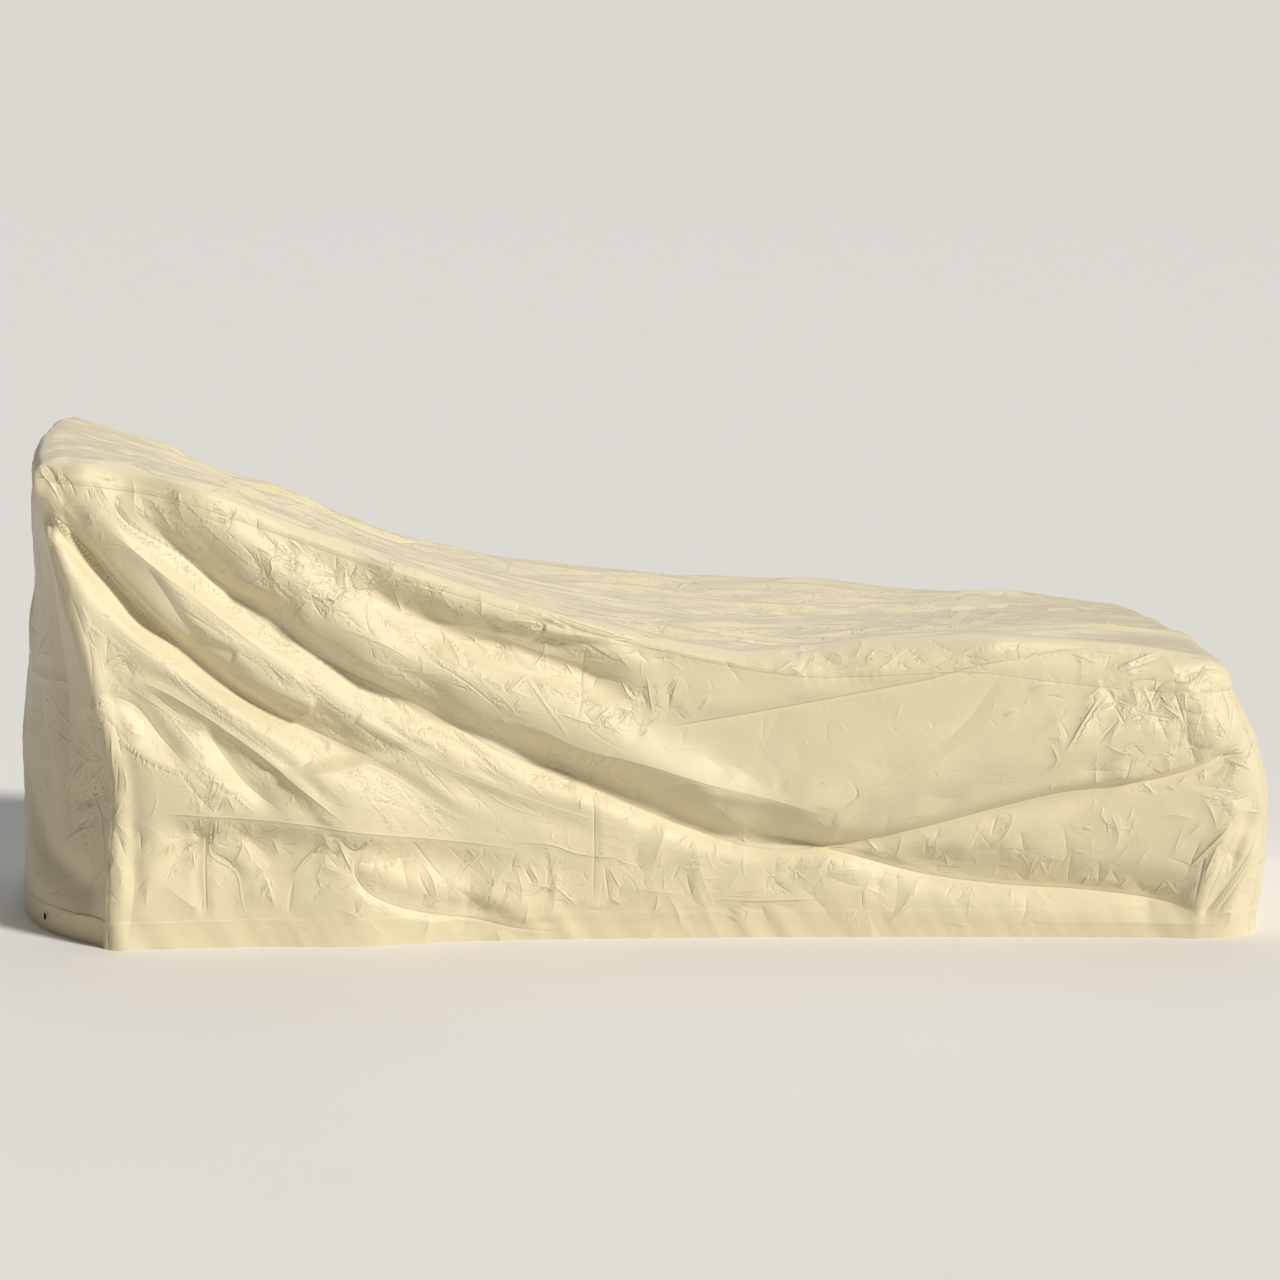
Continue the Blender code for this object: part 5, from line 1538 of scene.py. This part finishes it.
def seam_lines(cover, sizes):
    """Every stitched line, as its points and the directions that the cloth faces there."""
    points, grids = outer_points(cover), cover.grids
    top, head, foot = grids["top"], grids["head"][HEM_ROWS:], grids["foot"]
    sewn = [top, top[::-1], top.T, top[:, ::-1].T, head.T, head[:, ::-1].T, foot.T,
            foot[:, ::-1].T]
    lines = []
    for grid in sewn:
        line, facing = inset_line(points, cover.normals, grid, sizes.seam_inset)
        run = arc_length(line)
        kept = (run >= sizes.seam_inset) & (run <= run[-1] - sizes.seam_inset)
        lines.append((line[kept], facing[kept]))
    hems = [grids[face][HEM_ROWS::-1] for face in ("near", "foot", "far", "head")]
    return lines + [inset_line(points, cover.normals, grid, sizes.hem_inset)
                    for grid in (*hems, head)]


def path_object(name, lines):
    """All stitched lines in one mesh of edges, each point with the direction its cloth faces."""
    counts = [len(line) for line, _ in lines]
    starts = np.cumsum([0, *counts[:-1]])
    edges = np.concatenate([np.column_stack([np.arange(s, s + n - 1), np.arange(s + 1, s + n)])
                            for s, n in zip(starts, counts)])
    mesh = bpy.data.meshes.new(name)
    mesh.from_pydata(np.concatenate([line for line, _ in lines]), edges.tolist(), [])
    facing = mesh.attributes.new("facing", "FLOAT_VECTOR", "POINT")
    facing.data.foreach_set("vector", np.concatenate([way for _, way in lines]).astype(
        np.float32).ravel())
    return add_object(name, mesh)


def stitch_tree(material):
    """Geometry nodes that lay a stitch at every pitch along the edges they are given."""
    tree = bpy.data.node_groups.new("row_of_stitches", "GeometryNodeTree")
    face = tree.interface
    face.new_socket("Lines", in_out="INPUT", socket_type="NodeSocketGeometry")
    for name in ("Pitch", "Length", "Thread", "Unevenness"):
        face.new_socket(name, in_out="INPUT", socket_type="NodeSocketFloat")
    face.new_socket("Seed", in_out="INPUT", socket_type="NodeSocketInt")
    face.new_socket("Stitches", in_out="OUTPUT", socket_type="NodeSocketGeometry")
    nodes, links = tree.nodes, tree.links

    def add(kind, *inputs, **options):
        made = nodes.new(kind)
        for name, value in options.items():
            setattr(made, name, value)
        for key, value in inputs:
            if isinstance(value, bpy.types.NodeSocket):
                links.new(value, made.inputs[key])
            else:
                made.inputs[key].default_value = value
        return made

    given = nodes.new("NodeGroupInput").outputs
    curve = add("GeometryNodeMeshToCurve", ("Mesh", given["Lines"]))
    laid = add("GeometryNodeResampleCurve", ("Curve", curve.outputs[0]),
               ("Length", given["Pitch"]), mode="LENGTH")
    facing = add("GeometryNodeInputNamedAttribute", ("Name", "facing"), data_type="FLOAT_VECTOR")
    tangent = add("GeometryNodeInputTangent")
    turn = add("FunctionNodeAxesToRotation", ("Primary Axis", tangent.outputs[0]),
               ("Secondary Axis", facing.outputs[0]), primary_axis="X", secondary_axis="Z")
    lean = add("FunctionNodeRandomValue", (2, -1.0), (3, 1.0), ("Seed", given["Seed"]),
               data_type="FLOAT")
    amount = add("ShaderNodeMath", (0, lean.outputs[1]), (1, given["Unevenness"]),
                 operation="MULTIPLY")
    local = add("ShaderNodeCombineXYZ", ("Z", amount.outputs[0]))
    tilt = add("FunctionNodeEulerToRotation", (0, local.outputs[0]))
    turned = add("FunctionNodeRotateRotation", (0, turn.outputs[0]), (1, tilt.outputs[0]),
                 rotation_space="LOCAL")
    ball = add("GeometryNodeMeshUVSphere", ("Segments", STITCH_SEGMENTS), ("Rings", STITCH_RINGS),
               ("Radius", 0.5))
    size = add("ShaderNodeCombineXYZ", ("X", given["Length"]), ("Y", given["Thread"]),
               ("Z", given["Thread"]))
    shaped = add("GeometryNodeTransform", ("Geometry", ball.outputs[0]), ("Scale", size.outputs[0]))
    smooth = add("GeometryNodeSetShadeSmooth", ("Geometry", shaped.outputs[0]))
    placed = add("GeometryNodeInstanceOnPoints", ("Points", laid.outputs[0]),
                 ("Instance", smooth.outputs[0]), ("Rotation", turned.outputs[0]))
    real = add("GeometryNodeRealizeInstances", (0, placed.outputs[0]))
    dyed = add("GeometryNodeSetMaterial", (0, real.outputs[0]), ("Material", material))
    out = nodes.new("NodeGroupOutput")
    links.new(dyed.outputs[0], out.inputs[0])
    return tree


def sew(name, lines, sizes, lift):
    """Lay stitches along the lines and keep them as a plain mesh."""
    raised = [(line + way * lift, way) for line, way in lines]
    path = path_object(f"{name}_path", raised)
    tree = stitch_tree(sewing_thread(f"{name}_thread"))
    sewing = path.modifiers.new("stitches", "NODES")
    sewing.node_group = tree
    values = {"Pitch": sizes.pitch, "Length": sizes.length, "Thread": sizes.thread,
              "Unevenness": STITCH_TURN, "Seed": STITCH_SEED}
    for item in tree.interface.items_tree:
        if item.item_type == "SOCKET" and item.name in values:
            sewing[item.identifier] = values[item.name]
    mesh = finished_mesh(path)
    bpy.data.objects.remove(path)
    mesh.name = name
    return add_object(name, mesh)


# ------------ eyelet
def eyelet_place(cover, sizes):
    """The eyelet's seat on the hem strip: its centre on the cloth, turned to face outwards."""
    strip = cover.grids["head"][:HEM_ROWS + 1]
    points = outer_points(cover)
    row = int(np.argmin(np.abs(points[strip[:, 0], 2] - sizes.height)))
    middle = points[strip[row]]
    reach = np.abs(middle[:, 1] - sizes.across) < sizes.flange_radius
    slope, start = np.polyfit(middle[reach, 1] - sizes.across, middle[reach, 0], 1)
    outward = Vector((-1.0, slope, 0.0)).normalized()
    side = Vector((0, 0, 1)).cross(outward)
    turn = Matrix((side, outward.cross(side), outward)).transposed()
    return Matrix.Translation((start, sizes.across, sizes.height)) @ turn.to_4x4()


def eyelet_profile(sizes):
    """Section of the pressed ring as (radius, height): flange, barrel and rolled back."""
    front = sizes.clearance
    back = -CLOTH_THICKNESS - sizes.clearance - BACK_CLEARANCE
    barrel = sizes.hole_radius + sizes.metal
    bend, rim = sizes.lip_bend, sizes.metal / 2
    steps = range(LIP_ARC_STEPS + 1)
    half = [-math.pi / 2 + math.pi * step / LIP_ARC_STEPS for step in steps]
    quarter = [math.pi / 2 * step / LIP_ARC_STEPS for step in steps]
    edge = [(sizes.flange_radius - rim + rim * math.cos(angle),
             front + rim + rim * math.sin(angle)) for angle in half]
    lip = [(sizes.hole_radius + bend * (1 - math.sin(angle)),
            front + sizes.metal - bend * (1 - math.cos(angle))) for angle in quarter]
    roll = [(sizes.hole_radius + bend * (1 - math.cos(angle)),
             back - sizes.metal + bend * (1 - math.sin(angle))) for angle in quarter]
    return [*edge, *lip, *roll, (sizes.back_radius, back - sizes.metal),
            (sizes.back_radius, back), (barrel, back), (barrel, front)]


def turned_ring(name, profile):
    """Ring turned from its closed section about its own axis."""
    bm = bmesh.new()
    verts = [bm.verts.new((radius, 0.0, height)) for radius, height in profile]
    edges = [bm.edges.new((a, b)) for a, b in zip(verts, verts[1:] + verts[:1])]
    bmesh.ops.spin(bm, geom=verts + edges, cent=(0, 0, 0), axis=(0, 0, 1),
                   angle=2 * math.pi, steps=EYELET_SEGMENTS, use_merge=True)
    bmesh.ops.remove_doubles(bm, verts=bm.verts[:], dist=MERGE_DISTANCE)
    bmesh.ops.recalc_face_normals(bm, faces=bm.faces[:])
    mesh = mesh_of(bm, name)
    mesh.shade_smooth()
    mesh.set_sharp_from_angle(angle=math.radians(METAL_SHARP_DEGREES))
    return mesh


def cut_eyelet_hole(strip, place, radius):
    """Cut the barrel's hole through the hem strip and keep the result as its mesh."""
    bm = bmesh.new()
    bmesh.ops.create_cone(bm, cap_ends=True, segments=HOLE_SEGMENTS, radius1=radius,
                          radius2=radius, depth=HOLE_CUTTER_LENGTH, matrix=place)
    cutter = add_object("eyelet_hole_cutter", mesh_of(bm, "eyelet_hole_cutter"))
    hole = strip.modifiers.new("eyelet_hole", "BOOLEAN")
    hole.operation = "DIFFERENCE"
    hole.solver = "EXACT"
    hole.object = cutter
    cut = finished_mesh(strip)
    strip.modifiers.remove(hole)
    bpy.data.objects.remove(cutter)
    strip.data = cut


# ------------ operators
class COVER_OT_side_panels(bpy.types.Operator):
    """Cut and drape the two long side panels"""
    bl_idname = "cover.side_panels"
    bl_label = "Side Panels"

    def execute(self, context):
        for panel in PANELS[:2]:
            cut_panel(panel)
        return {"FINISHED"}


class COVER_OT_top_panel(bpy.types.Operator):
    """Cut and drape the top panel"""
    bl_idname = "cover.top_panel"
    bl_label = "Top Panel"

    def execute(self, context):
        cut_panel(PANELS[2])
        return {"FINISHED"}


class COVER_OT_end_panels(bpy.types.Operator):
    """Cut and drape the foot end and the head end"""
    bl_idname = "cover.end_panels"
    bl_label = "End Panels"

    def execute(self, context):
        for panel in PANELS[3:5]:
            cut_panel(panel)
        return {"FINISHED"}


class COVER_OT_hem_strip(bpy.types.Operator):
    """Cut the head end's hem strip, with the hole for its eyelet"""
    bl_idname = "cover.hem_strip"
    bl_label = "Hem Strip"

    def execute(self, context):
        sizes = context.scene.cover_eyelet
        strip = cut_panel(PANELS[5])
        cut_eyelet_hole(strip, eyelet_place(draped_cover(), sizes),
                        sizes.hole_radius + sizes.metal + sizes.clearance)
        return {"FINISHED"}


class COVER_OT_eyelet(bpy.types.Operator):
    """Press the metal eyelet into the hem strip"""
    bl_idname = "cover.eyelet"
    bl_label = "Eyelet"

    def execute(self, context):
        sizes = context.scene.cover_eyelet
        mesh = turned_ring("eyelet_metal", eyelet_profile(sizes))
        mesh.transform(eyelet_place(draped_cover(), sizes))
        ring_piece = add_piece("eyelet_metal", mesh, plated_metal("eyelet_plated_metal"))
        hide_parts("eyelet_ring")
        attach(ring_piece, "root")
        return {"FINISHED"}


class COVER_OT_stitches(bpy.types.Operator):
    """Topstitch the seams and the hem"""
    bl_idname = "cover.stitches"
    bl_label = "Stitches"

    def execute(self, context):
        sizes = context.scene.cover_stitches
        lines = seam_lines(draped_cover(), sizes)
        thing = sew("seam_and_hem_stitches", lines, sizes, STITCH_LIFT * sizes.thread)
        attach(thing, "root")
        return {"FINISHED"}


class COVER_OT_stage(bpy.types.Operator):
    """Set up the pale floor, the soft lights and the camera"""
    bl_idname = "cover.stage"
    bl_label = "Stage"

    def execute(self, context):
        look = context.scene.cover_stage
        pale_floor(look)
        soft_light(context.scene, look)
        photo_camera(context.scene, look)
        return {"FINISHED"}


STEPS = (COVER_OT_side_panels, COVER_OT_top_panel, COVER_OT_end_panels, COVER_OT_hem_strip,
         COVER_OT_eyelet, COVER_OT_stitches, COVER_OT_stage)


# ------------ stage
def pale_floor(look):
    """A wide round floor, so that it looks alike from every side."""
    bm = bmesh.new()
    bmesh.ops.create_circle(bm, cap_ends=True, segments=FLOOR_SEGMENTS, radius=FLOOR_RADIUS)
    shades = Shades("studio_floor")
    tone = shades.noise(shades.place(), *FLOOR_TONE)
    shaded = tuple(FLOOR_SHADE * part for part in look.floor_colour)
    base = shades.mix(tone, (*look.floor_colour, 1.0), (*shaded, 1.0))
    floor = add_piece("studio_floor", mesh_of(bm, "studio_floor"),
                      shades.finish({"Roughness": 0.9}, Base_Color=base))


def far_light(name, strength, softness, colour, turn):
    light = bpy.data.lights.new(name, "SUN")
    light.energy = strength
    light.angle = softness
    light.color = colour
    add_object(name, light).rotation_euler = turn


def soft_light(scene, look):
    """A soft key from the right in front, a broad light from above and behind, and an even
    light from all round."""
    far_light("key", look.key_strength, look.key_softness, KEY_COLOUR, look.key_turn)
    far_light("top", look.top_strength, TOP_SOFTNESS, TOP_COLOUR, look.top_turn)
    world = bpy.data.worlds.new("studio")
    world.use_nodes = True
    nodes, links = world.node_tree.nodes, world.node_tree.links
    light = nodes["Background"]
    light.inputs[0].default_value = (*FILL_COLOUR, 1.0)
    light.inputs[1].default_value = look.fill
    backdrop = nodes.new("ShaderNodeBackground")
    backdrop.inputs[0].default_value = (*look.backdrop_colour, 1.0)
    seen = nodes.new("ShaderNodeMixShader")
    path = nodes.new("ShaderNodeLightPath")
    links.new(path.outputs["Is Camera Ray"], seen.inputs[0])
    links.new(light.outputs[0], seen.inputs[1])
    links.new(backdrop.outputs[0], seen.inputs[2])
    links.new(seen.outputs[0], nodes["World Output"].inputs[0])
    scene.world = world
    scene.view_settings.view_transform = "Standard"


def photo_camera(scene, look):
    """The camera at the photograph's place and angle."""
    data = bpy.data.cameras.new("camera")
    data.sensor_width = FRAME_WIDTH
    data.lens = look.focal_length
    yaw, pitch, roll = look.camera_yaw, look.camera_pitch, look.camera_roll
    turn = (Matrix.Rotation(-yaw, 3, "Z") @ Matrix.Rotation(math.pi / 2 - pitch, 3, "X")
            @ Matrix.Rotation(roll, 3, "Z"))
    camera = add_object("camera", data)
    camera.matrix_world = Matrix.Translation(look.camera_place) @ turn.to_4x4()
    scene.camera = camera


# ------------ sidebar and run
class COVER_PT_sidebar(bpy.types.Panel):
    """The cover's settings and the steps that make it"""
    bl_label = "Lounge Chair Cover"
    bl_space_type = "VIEW_3D"
    bl_region_type = "UI"
    bl_category = "Cover"

    def draw(self, context):
        for name, group in SETTINGS.items():
            box = self.layout.box()
            box.label(text=group.__doc__)
            for item in group.__annotations__:
                box.prop(getattr(context.scene, name), item)
        for step in STEPS:
            self.layout.operator(step.bl_idname)


CLASSES = (*SETTINGS.values(), *STEPS, COVER_PT_sidebar)


def register():
    for item in CLASSES:
        bpy.utils.register_class(item)
    for name, group in SETTINGS.items():
        setattr(bpy.types.Scene, name, PointerProperty(type=group))


def unregister():
    for name in SETTINGS:
        delattr(bpy.types.Scene, name)
    for item in reversed(CLASSES):
        bpy.utils.unregister_class(item)


def main():
    register()
    bpy.ops.cover.side_panels()
    bpy.ops.cover.top_panel()
    bpy.ops.cover.end_panels()
    bpy.ops.cover.hem_strip()
    bpy.ops.cover.eyelet()
    bpy.ops.cover.stitches()
    bpy.ops.cover.stage()


if __name__ == "__main__":
    main()
